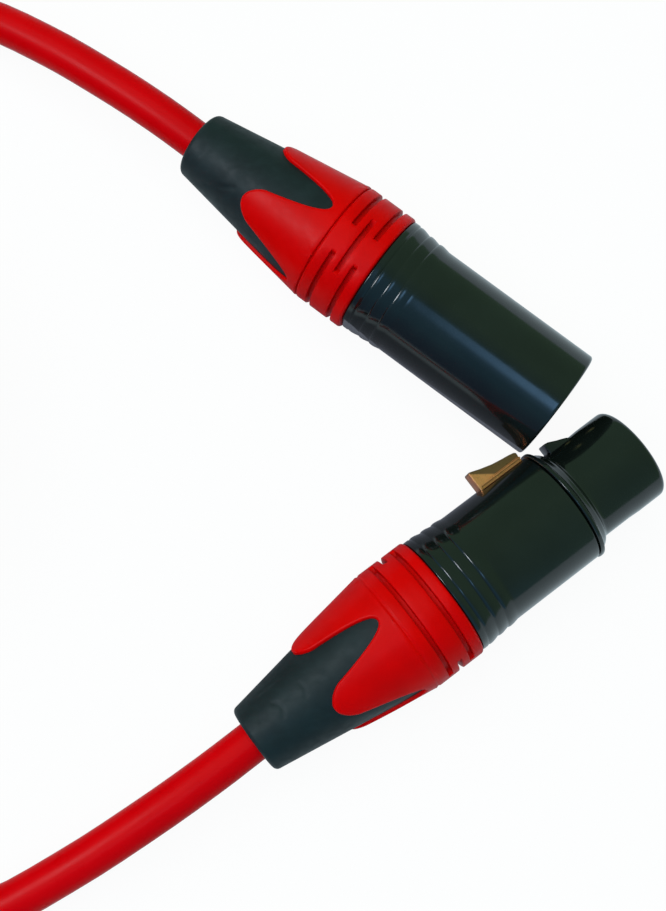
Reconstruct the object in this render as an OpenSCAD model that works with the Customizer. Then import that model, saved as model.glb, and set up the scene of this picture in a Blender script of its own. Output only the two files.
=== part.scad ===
// Balanced audio lead: a male and a female three-pole round connector on one cable.
// Each connector is drawn along +X, with the joint of shell and bushing at x = 0, and is
// then laid down at its place. Roll angles go round its axis: 0 is up, 90 is its +Y side.

/* [Cable] */
// Outer diameter of the cable
cable_d = 6.5; // [5:0.1:7]
// Diameter of an insulated core
core_d = 1.8; // [1.2:0.1:2]
// Diameter of the drain wire
drain_d = 1; // [0.6:0.1:1.2]
// Distance of the cores from the cable's centre where the jacket ends
core_pitch_r = 1.6; // [1.5:0.05:1.8]
// Where the jacket ends, behind the joint of shell and bushing
jacket_end = 4.5; // [4:0.1:6]

/* [Coil] */
// Turns of the coil
coil_turns = 11.25; // [4.25:1:15.25]
// Layers that the turns are piled in
coil_layers = 4; // [2:2:4]
// Radius of the innermost turn
coil_inner_r = 27; // [26:0.5:30]
// Air between turns side by side
turn_gap = 0.6; // [0.5:0.05:1]
// Air between layers
layer_gap = 0.5; // [0.45:0.05:1]

/* [Fits] */
// Clearance of pieces that seat in one another, on the radius
seat_gap = 0.05; // [0.03:0.01:0.08]
// Clearance of the pieces that slide along the cable, on the radius
cable_gap = 0.15; // [0.1:0.01:0.2]
// Clearance between the collet chuck and the cone round it
chuck_gap = 0.3; // [0.2:0.01:0.35]
// Gap at the joint of shell and bushing
joint_gap = 0.1; // [0.05:0.01:0.2]
// Running clearance of the latch on its pin, on the radius
pivot_gap = 0.04; // [0.02:0.01:0.06]

/* [Bushing] */
// How far the gripping ring stands out over the shells' roots
ring_step = 0.3; // [0.1:0.05:0.5]
// Length of the gripping ring
ring_len = 8.9; // [8.6:0.1:9.2]
// Width of a grip groove
groove_w = 0.6; // [0.4:0.05:0.8]
// Depth of a grip groove
groove_depth = 0.75; // [0.4:0.05:0.8]
// First row of grip grooves, from the joint
groove_at = 2.4; // [2.2:0.05:3]
// Spacing of the rows
groove_pitch = 2.05; // [1.8:0.05:2.2]
// Arc of a groove in the middle row
mid_arc = 55; // [40:1:70]
// Arc of a groove in the outer rows
outer_arc = 149; // [130:1:160]
// Width of the seam behind the ring
seam_w = 0.4; // [0.3:0.05:0.6]
// Depth of the seam behind the ring
seam_depth = 0.4; // [0.2:0.05:0.6]
// How far behind the joint the petals end
petal_end = 23.9; // [22.5:0.1:25]
// Thickness of the petals at their ends
petal_end_t = 0.75; // [0.6:0.05:0.95]
// Thickness of the petals at the ring
petal_root_t = 0.55; // [0.5:0.05:0.7]
// Petals round the boot
petals = 4; // [3:1:5]
// Radius of the corners at a petal's end
petal_corner = 2.2; // [1:0.1:2.4]
// Where the gaps between the petals begin, from the joint
gap_at = 11; // [10.5:0.1:13]
// Half width of a gap one millimetre from where it begins
gap_flare = 1.22; // [1:0.01:1.3]
// Wall of the clamping cone
cone_wall = 1.2; // [1:0.05:1.3]

/* [Boot] */
// How far behind the joint the boot ends
boot_end = 36.3; // [34:0.1:40]
// Wall of the boot at its end
boot_end_wall = 2.32; // [2:0.01:2.7]
// Rounding of the boot's end
boot_edge = 0.9; // [0.3:0.1:1.2]

/* [Shells] */
// Bore of a shell
bore_d = 16.2; // [16:0.05:16.3]
// Wall of the male shell
male_wall = 1.4; // [1.2:0.05:1.7]
// Length of the male shell
male_len = 35.5; // [34:0.1:38]
// Wall of the female shell
female_wall = 1.6; // [1.4:0.05:1.9]
// Length of the female shell
female_len = 23.3; // [23:0.1:26]
// Wall under the screw thread behind a shell
thread_wall = 0.9; // [0.8:0.05:0.95]
// Height of the shoulder between the thread and a shell's root
root_step = 1.2; // [1:0.05:1.3]
// Length of the screw thread
thread_len = 6.5; // [5:0.1:7]
// Ripples at a shell's root
ripples = 3; // [2:1:4]
// First ripple, from the joint
ripple_at = 1.2; // [0.8:0.1:1.5]
// Spacing of the ripples
ripple_pitch = 2; // [1.6:0.1:2.2]
// Height of a ripple
ripple_h = 0.2; // [0.1:0.01:0.3]
// Rounding of a shell's front edge
shell_edge = 0.5; // [0.2:0.05:0.6]
// Depth of the male shell's index flat at the front
flat_depth = 0.23; // [0.1:0.01:0.25]
// Where the index flat begins, from the joint
flat_at = 12; // [9:0.5:20]
// Depth of the groove for the mate's hook, inside the male shell
catch_depth = 0.9; // [0.5:0.05:0.95]
// Width of the groove for the mate's hook
catch_w = 4.6; // [4.2:0.1:5]

/* [Barrel] */
// Clearance of the barrel in the mate's shell, on the radius
barrel_gap = 0.1; // [0.1:0.01:0.15]
// How far the barrel reaches, from the joint
barrel_front = 38.15; // [37:0.05:41]
// Wall of the barrel
barrel_wall = 1.1; // [0.9:0.05:1.15]
// Depth of the relief behind the barrel's front land
barrel_relief = 0.1; // [0.05:0.05:0.15]
// Rounding of the barrel's front edge
barrel_edge = 0.9; // [0.4:0.05:0.95]
// How far the collar stands out over the female shell
collar_step = 0.2; // [0:0.05:0.3]
// Thickness of the collar
collar_w = 0.7; // [0.5:0.05:0.9]
// Length of the cone in front of the collar
collar_cone = 1.8; // [1.4:0.1:2]
// Gap between the collar and the shell
collar_gap = 0.2; // [0.1:0.05:0.3]

/* [Contacts] */
// Diameter of a male pin
pin_d = 2.4; // [2.3:0.02:2.44]
// Distance of the contacts' axes from the outside of the barrel's insert
contact_edge = 2.45; // [2.35:0.05:2.55]
// How far the male pins reach, from the joint
pin_front = 33.8; // [30:0.1:34]
// Bore of a female contact
socket_bore = 2.44; // [2.4:0.01:2.5]
// Wall of a female contact
socket_wall = 0.43; // [0.3:0.01:0.45]
// Depth of a female contact's bore
socket_depth = 13; // [10:0.1:16]
// Width of the slit in a female contact
slit_w = 0.3; // [0.2:0.05:0.4]
// Collar of a contact, outer diameter
contact_collar_d = 3.8; // [3.6:0.05:3.9]
// Diameter of a solder cup
cup_d = 3.2; // [2.8:0.05:3.4]
// Bore of a solder cup
cup_bore = 2.2; // [2.1:0.05:2.4]
// Where the male insert ends, from the joint
male_face = 21.5; // [21:0.1:22.5]

/* [Latch] */
// Width of the thumb pad
pad_w = 4; // [3.6:0.1:4.2]
// Height of the pad over the shell, at its rear end
pad_rise = 3.25; // [2.4:0.05:3.8]
// Height of the pad over the shell, at its front end
pad_low_rise = 1.3; // [0.9:0.05:1.7]
// Depth of the hollow in each side of the pad, at its foot
pad_hollow = 0.8; // [0.4:0.05:0.9]
// Height of the pad's foot over the shell
pad_foot = 0.45; // [0.3:0.05:0.6]
// Clearance of the latch at the sides of its slot
slot_gap = 0.2; // [0.15:0.01:0.3]
// Height of the hook over the barrel
hook_rise = 1.35; // [1:0.05:1.6]
// Width of the latch lever inside the barrel
lever_w = 2.4; // [2:0.1:2.6]
// Diameter of the pivot pin
pivot_d = 0.9; // [0.8:0.05:1]
// Thickness of the leaf spring
leaf_t = 0.25; // [0.2:0.01:0.3]
// Width of the leaf spring
leaf_w = 2; // [1.4:0.1:2.2]

/* [Hidden] */
$fn = 48;
eps = 0.01;

// Diameters that follow from the bore and the walls
male_d = bore_d + 2 * male_wall;
female_d = bore_d + 2 * female_wall;
thread_d = bore_d + 2 * thread_wall;
root_d = thread_d + 2 * root_step;
ring_d = root_d + 2 * ring_step;
barrel_d = bore_d - 2 * barrel_gap;
collar_d = female_d + 2 * collar_step;
boot_root_d = ring_d - 2 * petal_root_t;
boot_end_d = cable_d + 2 * boot_end_wall;
pad_top = female_d / 2 + pad_rise;
pad_low = female_d / 2 + pad_low_rise;
hook_top = barrel_d / 2 + hook_rise;

// Where the connectors lie: the joint of shell and bushing, in plan, and their angle to +X
splay = 36.87;
male_side = 13.925;
female_side = 13.675;
male_at = [-6.35, male_side + male_d / 2 / cos(splay)];
female_at = [3.35, -female_side - female_d / 2 / cos(splay)];
axis_z = ring_d / 2;

// Rolls: the petals' and grooves' phase differs, because each bushing is screwed home freely
male_petal_roll = -36;
female_petal_roll = 65.4;
groove_phase = 28;
male_key_roll = -90;
latch_roll = 90;
flat_roll = -95;
guide_roll = 180;

// Free stretches of the cable, from the boot to the coil
male_route = [
    [-42, 52.5, axis_z], [-52, 59.3, 9.9], [-62, 65.6, 8.5], [-73, 71.3, 6.7], [-84.5, 75.2, 5],
    [-97, 76.8, 3.8], [-110, 74.6, 3.3], [-122.5, 69.2, 3.3], [-133.2, 61.3, 3.3], [-142.6, 52.4, 3.3],
    [-150, 43, 3.3]
];
female_route = [
    [-32.5, -52.7, axis_z], [-43, -60, 9.8], [-54, -67, 8.3], [-65.5, -73.2, 6.3], [-77, -77, 4.4],
    [-89.5, -76.6, 3.6], [-101.5, -71.8, 5], [-112.8, -64.6, 9.6], [-123.6, -57.1, 16.5],
    [-134, -49.8, 22.6]
];
stretch_sides = 12;

// The coil
coil_at = [-123, 0];
coil_start = 145;
loop_rings = 24;
loop_sides = 6;
coil_sink = cable_d / 10;
settle_turns = 0.25;
turn_pitch = cable_d + turn_gap;
layer_pitch = cable_d + layer_gap;
layer_turns = coil_turns / coil_layers;
coil_outer_r = coil_inner_r + turn_pitch * layer_turns;

// Rounds of the connectors, from the bore outwards
cable_r = cable_d / 2;
sleeve_r = cable_r + cable_gap;
bore_r = bore_d / 2;
insert_r = bore_r - seat_gap;
skirt_wall = 1.15;
skirt_r = insert_r - skirt_wall;
thread_r = thread_d / 2;
ring_r = ring_d / 2;
ring_edge = 0.5;
boot_slope = (boot_root_d - boot_end_d) / 2 / (boot_end - ring_len);
petal_end_r = boot_root_d / 2 + boot_slope * (ring_len - petal_end) + petal_end_t;
barrel_r = barrel_d / 2;
barrel_in_r = barrel_r - barrel_wall;
nose_r = barrel_in_r - seat_gap;
contact_r = nose_r - contact_edge;
socket_r = socket_bore / 2 + socket_wall;

// Places along a connector
skirt_back = -2;
cup_back = 3;
cup_floor = 6.5;
contact_seat = 8;
collar_front = 10;
male_stop = 20;
female_stop = 9;
stop_w = 1;
stop_h = 0.5;
collar_at = female_len + collar_gap;
cone_front = collar_at + collar_w + collar_cone;
nose_front = barrel_front - 0.3;
socket_front = nose_front - 1;
guide_w = 2;
guide_h = 0.5;

// The collet chuck
chuck_r = skirt_r - 2 * seat_gap;
chuck_nose = -0.6;
chuck_flange = 1.15;
chuck_flange_r = bore_r - 0.2;
chuck_cone_at = -9;
chuck_back = -19;
chuck_back_r = 5.2;
chuck_slot = 1.2;
chuck_teeth = 4;
tooth_h = 0.3;
ring_wall_at = -7.4;
cone_back = chuck_back - 1;

// The latch
pivot_x = 13.8;
pivot_h = insert_r - 1.05;
boss_r = 0.9;
pad_back = 14.6;
pad_front = female_len - 0.4;
pad_len = pad_front - pad_back;
neck_low = pivot_h - 0.5;
neck_high = pivot_h + 0.3;
neck_front = hook_at() + 3.4;
pad_under = 0.35;
press_drop = 0.1;
channel_h = pivot_h - 2.4;
channel_w = 5.4;
slot_w = pad_w + 2 * slot_gap;
lever_slot_w = lever_w + 2 * slot_gap;
slot_back = pad_back - 0.4;
hook_slot_at = hook_at() - 0.4;
hook_slot_end = hook_at() + 4.2;
land_at = hook_slot_end + 0.2;
pin_half = 2.6;
function hook_at() = cone_front + 1.0;

// ---- shared functions ----

// Points of an arc round c, from angle a0 to a1
function arc(c, r, a0, a1, n = 6) =
    [for (i = [0:n]) let (a = a0 + (a1 - a0) * i / n) c + r * [cos(a), sin(a)]];

// Smooth step from 0 to 1
function ease(t) = let (u = min(max(t, 0), 1)) u * u * (3 - 2 * u);

function unit(v) = v / norm(v);

// Radius of the boot at x
function boot_r(x) = boot_root_d / 2 + boot_slope * (x + ring_len);

// Radius of the petals' outside at x
function petal_r(x) =
    ring_r + (x + ring_len) * (ring_r - petal_end_r) / (petal_end - ring_len);

// Outside and inside radius of the clamping cone at x
function cone_in_r(x) =
    chuck_gap + chuck_r + (chuck_r - chuck_back_r) * (x - chuck_cone_at) / (chuck_cone_at - chuck_back);
function cone_out_r(x) = cone_in_r(x) + cone_wall;

// Tangent of a path at point i, with the given directions at its ends
function tangent(path, i, first, last) =
    i == 0 ? first : i == len(path) - 1 ? last : unit(path[i + 1] - path[i - 1]);

// Ring of a tube round p, square to t, with a corner straight down where sides is even
function tube_ring(p, t, r, sides) =
    let (s = unit(cross(t, [0, 0, 1])), u = cross(s, t))
    [for (k = [0:sides - 1]) let (a = 360 * (k + 0.5) / sides - 90 + 180 / sides)
        p + r * (cos(a) * s + sin(a) * u)];

// Tube along a path, its ends square to the directions first and last
module tube(path, r, sides, first, last) {
    n = len(path);
    points = [for (i = [0:n - 1]) each tube_ring(path[i], tangent(path, i, first, last), r, sides)];
    walls = [for (i = [0:n - 2], k = [0:sides - 1])
        let (a = i * sides + k, b = i * sides + (k + 1) % sides)
        each [[a, b, b + sides], [a, b + sides, a + sides]]];
    ends = [for (k = [1:sides - 2])
        each [[0, k + 1, k], [(n - 1) * sides, (n - 1) * sides + k, (n - 1) * sides + k + 1]]];
    polyhedron(points, concat([for (f = walls) [f[2], f[1], f[0]]], [for (f = ends) [f[2], f[1], f[0]]]));
}

// ---- shared shapes ----

// Solid of revolution round the X axis, from points [x, radius]
module turned(points) {
    rotate([0, 90, 0]) rotate_extrude() polygon([for (p = points) [p[1], p[0]]]);
}

// Part of a solid of revolution, over an arc centred straight up
module turned_arc(points, span) {
    rotate([0, 90, 0]) rotate([0, 0, 180 - span / 2])
        rotate_extrude(angle = span) polygon([for (p = points) [p[1], p[0]]]);
}

// Turns what is drawn at the top of a connector to its roll angle
module roll(angle) {
    rotate([-angle, 0, 0]) children();
}

// Round bar along the X axis
module bar(x0, x1, r) {
    translate([x0, 0, 0]) rotate([0, 90, 0]) cylinder(h = x1 - x0, r = r);
}

// Plate from points [x, height], spread sideways to the width w
module plate(points, w) {
    rotate([90, 0, 0]) linear_extrude(w, center = true) polygon(points);
}

// Block from x0 to x1, w wide, between the heights h0 and h1
module block(x0, x1, w, h0, h1) {
    translate([x0, -w / 2, h0]) cube([x1 - x0, w, h1 - h0]);
}

module male_end() {
    translate([male_at[0], male_at[1], axis_z]) rotate([0, 0, -splay]) children();
}

module female_end() {
    translate([female_at[0], female_at[1], axis_z]) rotate([0, 0, splay]) children();
}

// ---- pieces that both ends share ----

// Ripples at a shell's root: a steep rise, then a slope towards the front
function ripple_end() = ripple_at + ripples * ripple_pitch;
function root_r(x, r) = r + (root_d / 2 - r) * pow((ripple_end() - x) / ripple_end(), 1.8);
function ripple_points(r) =
    [for (k = [0:ripples - 1], i = [0:7])
        let (x = ripple_at + (k + i / 8) * ripple_pitch)
        [x, root_r(x, r) + ripple_h * sin(180 * pow(i / 8, 0.6))]];

// Outside of a shell from the thread to the front of its ripples
function shell_root(r) = concat(
    [[-thread_len, thread_r - 0.3], [-thread_len + 0.3, thread_r], [0, thread_r],
     [0, root_d / 2 - 0.2], [0.2, root_d / 2]],
    ripple_points(r), [[ripple_end(), r]]);

// Inside of a shell, from its front end to the thread, with the stop for the insert
function shell_bore(front, stop) =
    [[front, bore_r + 0.3], [front - 0.3, bore_r], [stop + stop_w, bore_r],
     [stop + stop_w, bore_r - stop_h], [stop, bore_r - stop_h], [stop, bore_r],
     [-thread_len, bore_r]];

// Guide slot in a shell, and the rib of the insert that fits it
module guide_slot(stop) {
    roll(guide_roll) block(-thread_len - 1, stop, guide_w, bore_r - 1, bore_r + guide_h);
}

module guide_rib(stop) {
    roll(guide_roll)
        block(skirt_back, stop, guide_w - 4 * seat_gap, insert_r - 0.5, bore_r + guide_h - 2 * seat_gap);
}

// Clamping bushing: screwed ring, clamping cone and petals over the boot
module bushing(petal_roll) {
    groove = [[groove_w / 2, ring_r + 1], [groove_w / 2 - 0.1, ring_r - groove_depth],
        [0.1 - groove_w / 2, ring_r - groove_depth], [-groove_w / 2, ring_r + 1]];
    difference() {
        union() {
            turned(concat(
                [[-joint_gap, thread_r + seat_gap]],
                arc([-joint_gap - ring_edge, ring_r - ring_edge], ring_edge, 0, 90),
                [[-ring_len, ring_r], [-ring_len - 0.2, cone_out_r(-ring_len)],
                 [cone_back, cone_out_r(cone_back)], [cone_back, cone_in_r(cone_back)],
                 [ring_wall_at, cone_in_r(ring_wall_at)], [ring_wall_at, thread_r + seat_gap]]));
            petal_ring(petal_roll);
        }
        for (side = [0, 180]) roll(petal_roll + groove_phase + side) {
            translate([-groove_at - groove_pitch, 0, 0]) turned_arc(groove, mid_arc);
            for (row = [0, 2]) roll(90)
                translate([-groove_at - row * groove_pitch, 0, 0]) turned_arc(groove, outer_arc);
        }
        turned([[-ring_len + seam_w / 2, ring_r + 1], [-ring_len, ring_r - seam_depth],
            [-ring_len - seam_w / 2, ring_r + 1]]);
    }
}

// Petals: a thin cone over the boot, cut into petals with round ends
module petal_ring(petal_roll) {
    wide = 14;
    steps = 12;
    reach = petal_end - gap_at + 1;
    depths = [for (i = [0:steps]) reach * pow(i / steps, 2)];
    gap_side = [for (d = depths) [-gap_at - d, gap_flare * pow(d, 0.45)]];
    corner_x = -petal_end + petal_corner;
    corner_y = petal_r(-petal_end) * sin(180 / petals) - gap_flare * pow(petal_end - gap_at, 0.45);
    difference() {
        turned([[-ring_len + 0.3, ring_r], [-ring_len, ring_r], [-petal_end, petal_r(-petal_end)],
            [-petal_end, boot_r(-petal_end) + seat_gap], [-ring_len + 0.3, boot_r(-ring_len + 0.3) + seat_gap]]);
        for (k = [0:petals - 1]) {
            roll(petal_roll + (k + 0.5) * 360 / petals)
                linear_extrude(wide)
                    polygon(concat(gap_side, [for (i = [steps:-1:1]) [gap_side[i][0], -gap_side[i][1]]]));
            roll(petal_roll + k * 360 / petals)
                linear_extrude(wide) difference() {
                    translate([-petal_end - 1, -wide / 4]) square([1 + petal_corner, wide / 2]);
                    for (side = [-1, 1])
                        translate([corner_x, side * max(corner_y - 1.2, 0.3)]) circle(petal_corner);
                }
        }
    }
}

// Rubber boot, moulded round the clamping cone and under the petals
module boot() {
    tip_x = -boot_end + boot_edge;
    lean = atan(boot_slope);
    turned(concat(
        [[-boot_end, sleeve_r]],
        arc([tip_x, boot_r(tip_x) - boot_edge / cos(lean)], boot_edge, 180, 90 + lean),
        [[-ring_len - 0.3, boot_r(-ring_len - 0.3)],
         [-ring_len - 0.3, cone_out_r(-ring_len - 0.3) + seat_gap],
         [cone_back - seat_gap, cone_out_r(cone_back) + seat_gap],
         [cone_back - seat_gap, sleeve_r]]));
}

// Collet chuck: nose in the insert's skirt, flange, and four toothed jaws
module chuck() {
    jaw = chuck_cone_at - chuck_back;
    teeth = [for (k = [0:chuck_teeth - 1], i = [0:1])
        [chuck_back + (k + i / 2) * jaw / chuck_teeth, sleeve_r + i * tooth_h]];
    difference() {
        turned(concat(
            teeth,
            [[chuck_cone_at, sleeve_r], [chuck_cone_at + 1, chuck_r - 1.4], [chuck_nose, chuck_r - 1.4],
             [chuck_nose, chuck_r], [skirt_back - seat_gap, chuck_r],
             [skirt_back - seat_gap, chuck_flange_r],
             [skirt_back - chuck_flange, chuck_flange_r], [skirt_back - chuck_flange, chuck_r],
             [chuck_cone_at, chuck_r], [chuck_back, chuck_back_r]]));
        for (turn = [0, 90]) rotate([turn, 0, 0])
            translate([chuck_back - 1, -chuck_slot / 2, -chuck_r - 1])
                cube([jaw + 2, chuck_slot, 2 * chuck_r + 2]);
    }
}

// Jacketed end of the cable, inside the boot and the chuck
module cable_end() {
    bar(-boot_end, -jacket_end, cable_r);
}

// A core or the drain wire, from the jacket's end into a solder cup at the given roll
module lead(angle, d) {
    steps = 8;
    tip = cup_back + 2;
    path = [for (i = [0:steps])
        let (t = i / steps, h = core_pitch_r + (contact_r - core_pitch_r) * ease(t / 0.7))
        [-jacket_end + (tip + jacket_end) * t, h * sin(angle), h * cos(angle)]];
    tube(path, d / 2, 8, [1, 0, 0], [1, 0, 0]);
}

// Rear end of a contact: solder cup and collar
module contact_root() {
    difference() {
        union() {
            bar(cup_back, contact_seat, cup_d / 2);
            bar(contact_seat - eps, collar_front, contact_collar_d / 2);
        }
        bar(cup_back - 1, cup_floor, cup_bore / 2);
        block(cup_back - 1, cup_floor - 1.5, cup_d, 0.3, cup_d);
    }
}

module male_pin(angle) {
    roll(angle) translate([0, 0, contact_r]) {
        contact_root();
        turned(concat([[collar_front - eps, 0], [collar_front - eps, pin_d / 2]],
            arc([pin_front - 0.9, pin_d / 2 - 0.9], 0.9, 90, 0), [[pin_front, 0]]));
    }
}

module female_contact(angle) {
    roll(angle) translate([0, 0, contact_r]) {
        contact_root();
        difference() {
            bar(collar_front - eps, socket_front, socket_r);
            bar(socket_front - socket_depth, socket_front + 1, socket_bore / 2);
            block(socket_front - socket_depth * 0.7, socket_front + 1, slit_w, -socket_r - 1, socket_r + 1);
        }
    }
}

// Seats of the contacts in an insert, bored out to the radius r in front of their collars
module contact_seats(rolls, r, front) {
    for (angle = rolls) roll(angle) translate([0, 0, contact_r]) {
        bar(contact_seat - 1, collar_front, contact_collar_d / 2 + seat_gap);
        bar(collar_front - 1, front, r);
    }
}

// Rolls of contacts 1 to 3, from the roll of the key
function contact_rolls(key) = [key + 90, key - 90, key + 180];

// ---- male end ----

module male_shell() {
    front = male_len;
    tilt = atan(flat_depth / (front - flat_at));
    color([0.09, 0.1, 0.11]) male_end() difference() {
        turned(concat(
            shell_root(male_d / 2),
            arc([front - shell_edge, male_d / 2 - shell_edge], shell_edge, 90, 0),
            shell_bore(front, male_stop)));
        guide_slot(male_stop);
        roll(flat_roll) translate([flat_at, 0, male_d / 2]) rotate([0, tilt, 0])
            block(0, front, male_d, 0, 3);
        roll(male_key_roll) intersection() {
            block(male_face + 1, front + 1, catch_w, bore_r - 1, bore_r + 2);
            bar(male_face, front + 2, bore_r + catch_depth);
        }
    }
}

module male_insert() {
    color([0.12, 0.12, 0.13]) male_end() difference() {
        union() {
            turned([[skirt_back, skirt_r], [skirt_back, insert_r], [male_stop, insert_r],
                [male_stop, insert_r - stop_h], [male_face, insert_r - stop_h], [male_face, 0],
                [contact_seat, 0], [contact_seat, skirt_r]]);
            guide_rib(male_stop);
        }
        contact_seats(contact_rolls(male_key_roll), pin_d / 2 + seat_gap, male_face + 1);
    }
}

module male_contact(number) {
    color([0.85, 0.7, 0.35]) male_end() male_pin(contact_rolls(male_key_roll)[number - 1]);
}

module male_lead(number, d, tint) {
    color(tint) male_end() lead(contact_rolls(male_key_roll)[number - 1], d);
}

// ---- female end ----

module female_shell() {
    front = female_len;
    color([0.09, 0.1, 0.11]) female_end() difference() {
        turned(concat(shell_root(female_d / 2), [[front - 0.2, female_d / 2], [front, female_d / 2 - 0.2]],
            shell_bore(front, female_stop)));
        guide_slot(female_stop);
        roll(latch_roll) block(slot_back, front + 1, slot_w, 0, female_d);
    }
}

module female_barrel() {
    collar_end = collar_at + collar_w;
    color([0.09, 0.1, 0.11]) female_end() difference() {
        turned(concat(
            [[female_stop + stop_w, barrel_in_r], [female_stop + stop_w, insert_r], [collar_at, insert_r],
             [collar_at, collar_d / 2 - 0.2]],
            arc([collar_at + 0.2, collar_d / 2 - 0.2], 0.2, 180, 90, 3),
            [[collar_end, collar_d / 2], [collar_end + collar_cone / 2, barrel_r + 0.9],
             [collar_end + collar_cone * 0.75, barrel_r + 0.5], [cone_front, barrel_r - barrel_relief],
             [land_at, barrel_r - barrel_relief], [land_at + barrel_relief, barrel_r]],
            arc([barrel_front - barrel_edge, barrel_r - barrel_edge], barrel_edge, 90, 0),
            [[barrel_front, barrel_in_r]]));
        roll(latch_roll) {
            block(pivot_x - boss_r - 0.3, collar_at, lever_slot_w, channel_h, bore_r + 1);
            block(collar_at - 1, hook_slot_at + 1, lever_slot_w, channel_h, neck_high + 0.25);
            block(hook_slot_at, hook_slot_end, slot_w, channel_h, bore_r + 1);
            translate([pivot_x, 0, pivot_h]) rotate([90, 0, 0])
                cylinder(h = 2 * pin_half + 2 * seat_gap, d = pivot_d + seat_gap, center = true);
        }
    }
}

module female_insert() {
    color([0.12, 0.12, 0.13]) female_end() difference() {
        union() {
            turned([[skirt_back, skirt_r], [skirt_back, insert_r], [female_stop, insert_r],
                [female_stop, nose_r], [nose_front, nose_r], [nose_front, 0],
                [contact_seat, 0], [contact_seat, skirt_r]]);
            guide_rib(female_stop);
        }
        contact_seats(contact_rolls(latch_roll), pin_d / 2 + 0.2, nose_front + 1);
        contact_seats(contact_rolls(latch_roll), socket_r + seat_gap, socket_front);
        roll(latch_roll)
            block(pivot_x - boss_r - 0.5, hook_slot_end, channel_w, channel_h, nose_r + 1);
    }
}

module female_socket(number) {
    color([0.85, 0.7, 0.35]) female_end() female_contact(contact_rolls(latch_roll)[number - 1]);
}

module female_lead(number, d, tint) {
    color(tint) female_end() lead(contact_rolls(latch_roll)[number - 1], d);
}

// Lever: boss on the pivot, web, neck under the collar, and the thumb pad on its foot
module female_latch() {
    under = neck_high + 1.1;
    step = pad_top - (pad_top - pad_low) * 0.6;
    color([0.62, 0.45, 0.2]) female_end() roll(latch_roll) difference() {
        union() {
            translate([pivot_x, 0, pivot_h]) rotate([90, 0, 0])
                cylinder(h = lever_w, r = boss_r, center = true);
            plate([[pivot_x + 0.1, neck_low - 0.25], [pivot_x + 2.2, neck_low], [neck_front, neck_low],
                [neck_front, neck_high], [pad_front + 0.3, neck_high], [pad_front, under + 1.5],
                [pad_back, under + 1], [pad_back, pivot_h + boss_r], [pivot_x, pivot_h + boss_r]], lever_w);
            plate([[pad_back, under], [pad_back, pad_top], [pad_back + pad_len * 0.48, step],
                [pad_back + pad_len * 0.84, pad_low + 0.35], [pad_front, pad_low],
                [pad_front, under + 0.8]], pad_w);
        }
        translate([pivot_x, 0, pivot_h]) rotate([90, 0, 0])
            cylinder(h = pad_w, d = pivot_d + 2 * pivot_gap, center = true);
        for (side = [0, 1]) mirror([0, side, 0]) pad_side_hollow();
    }
}

// Hollow in a side of the pad: it deepens from the rear plate forwards, and from the rim to the foot
module pad_side_hollow() {
    half = pad_w / 2;
    foot = female_d / 2 + pad_foot;
    rim = pad_top - 0.3;
    plate_front = pad_back + 0.35;
    flare = 0.22;
    reach = pad_front + 1 - plate_front;
    intersection() {
        translate([plate_front, 0, foot]) linear_extrude(pad_top)
            polygon([[0, half], [reach, half - flare * reach], [reach, pad_w], [0, pad_w]]);
        translate([pad_back, 0, 0]) rotate([90, 0, 90]) linear_extrude(reach + 1)
            polygon([[half, rim], [half - pad_hollow, foot], [pad_w, foot], [pad_w, rim]]);
    }
}

module female_latch_hook() {
    at = hook_at();
    color([0.07, 0.07, 0.08]) female_end() roll(latch_roll)
        plate([[at, neck_high], [at, hook_top - 0.15], [at + 0.15, hook_top], [at + 0.8, hook_top - 0.1],
            [at + 2.2, hook_top - 0.93], [at + 3, hook_top - 1.28], [at + 3.4, hook_top - 1.6],
            [at + 3.4, neck_high]], pad_w);
}

module female_latch_pin() {
    color([0.7, 0.7, 0.72]) female_end() roll(latch_roll) translate([pivot_x, 0, pivot_h])
        rotate([90, 0, 0]) cylinder(h = 2 * pin_half, d = pivot_d, center = true);
}

// Leaf spring: clamped under the neck, its foot just clear of the channel in the insert
module female_latch_spring() {
    root_x = pad_front - 1.1;
    knee_x = root_x - 1.3;
    foot_x = pivot_x + 2.4;
    foot_h = channel_h + 0.35;
    color([0.75, 0.76, 0.78]) female_end() roll(latch_roll)
        plate([[root_x, neck_low], [knee_x, neck_low], [foot_x, foot_h + leaf_t],
            [foot_x - 0.9, foot_h + leaf_t + 0.5], [foot_x - 1.05, foot_h + 0.5],
            [foot_x, foot_h], [knee_x + 0.1, neck_low - leaf_t], [root_x, neck_low - leaf_t]], leaf_w);
}

// ---- cable ----

function axis_of(angle) = [cos(angle), sin(angle), 0];
function boot_point(at, angle) = [at[0], at[1], axis_z] - boot_end * axis_of(angle);

// Point of the coil after t turns: spirals in and out, and climbs where the spiral reverses
function spiral(t) = let (u = t % (2 * layer_turns)) u < layer_turns ? u : 2 * layer_turns - u;
function climb(t) = coil_layers < 2 ? 0 :
    [for (k = [1:coil_layers - 1]) ease((t - k * layer_turns) * 2 + 0.5)] *
    [for (k = [1:coil_layers - 1]) 1];
function coil_point(t) =
    let (r = coil_outer_r - turn_pitch * spiral(t), a = coil_start + 360 * t)
    [coil_at[0] + r * cos(a), coil_at[1] + r * sin(a),
     cable_r - coil_sink * ease(t / settle_turns) + layer_pitch * climb(t)];

function flat_unit(v) = unit([v[0], v[1], 0]);
coil_in = flat_unit(coil_point(0.01) - coil_point(0));
coil_out = flat_unit(coil_point(coil_turns) - coil_point(coil_turns - 0.01));
coil_first = coil_point(0) - cable_d * coil_in;
coil_last = coil_point(coil_turns) + cable_d * coil_out;
coil_path = concat([coil_first],
    [for (i = [0:coil_turns * loop_rings]) coil_point(i / loop_rings)], [coil_last]);

male_path = concat([boot_point(male_at, -splay)], male_route, [coil_first]);
female_path = concat([boot_point(female_at, splay)], female_route, [coil_last]);

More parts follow.
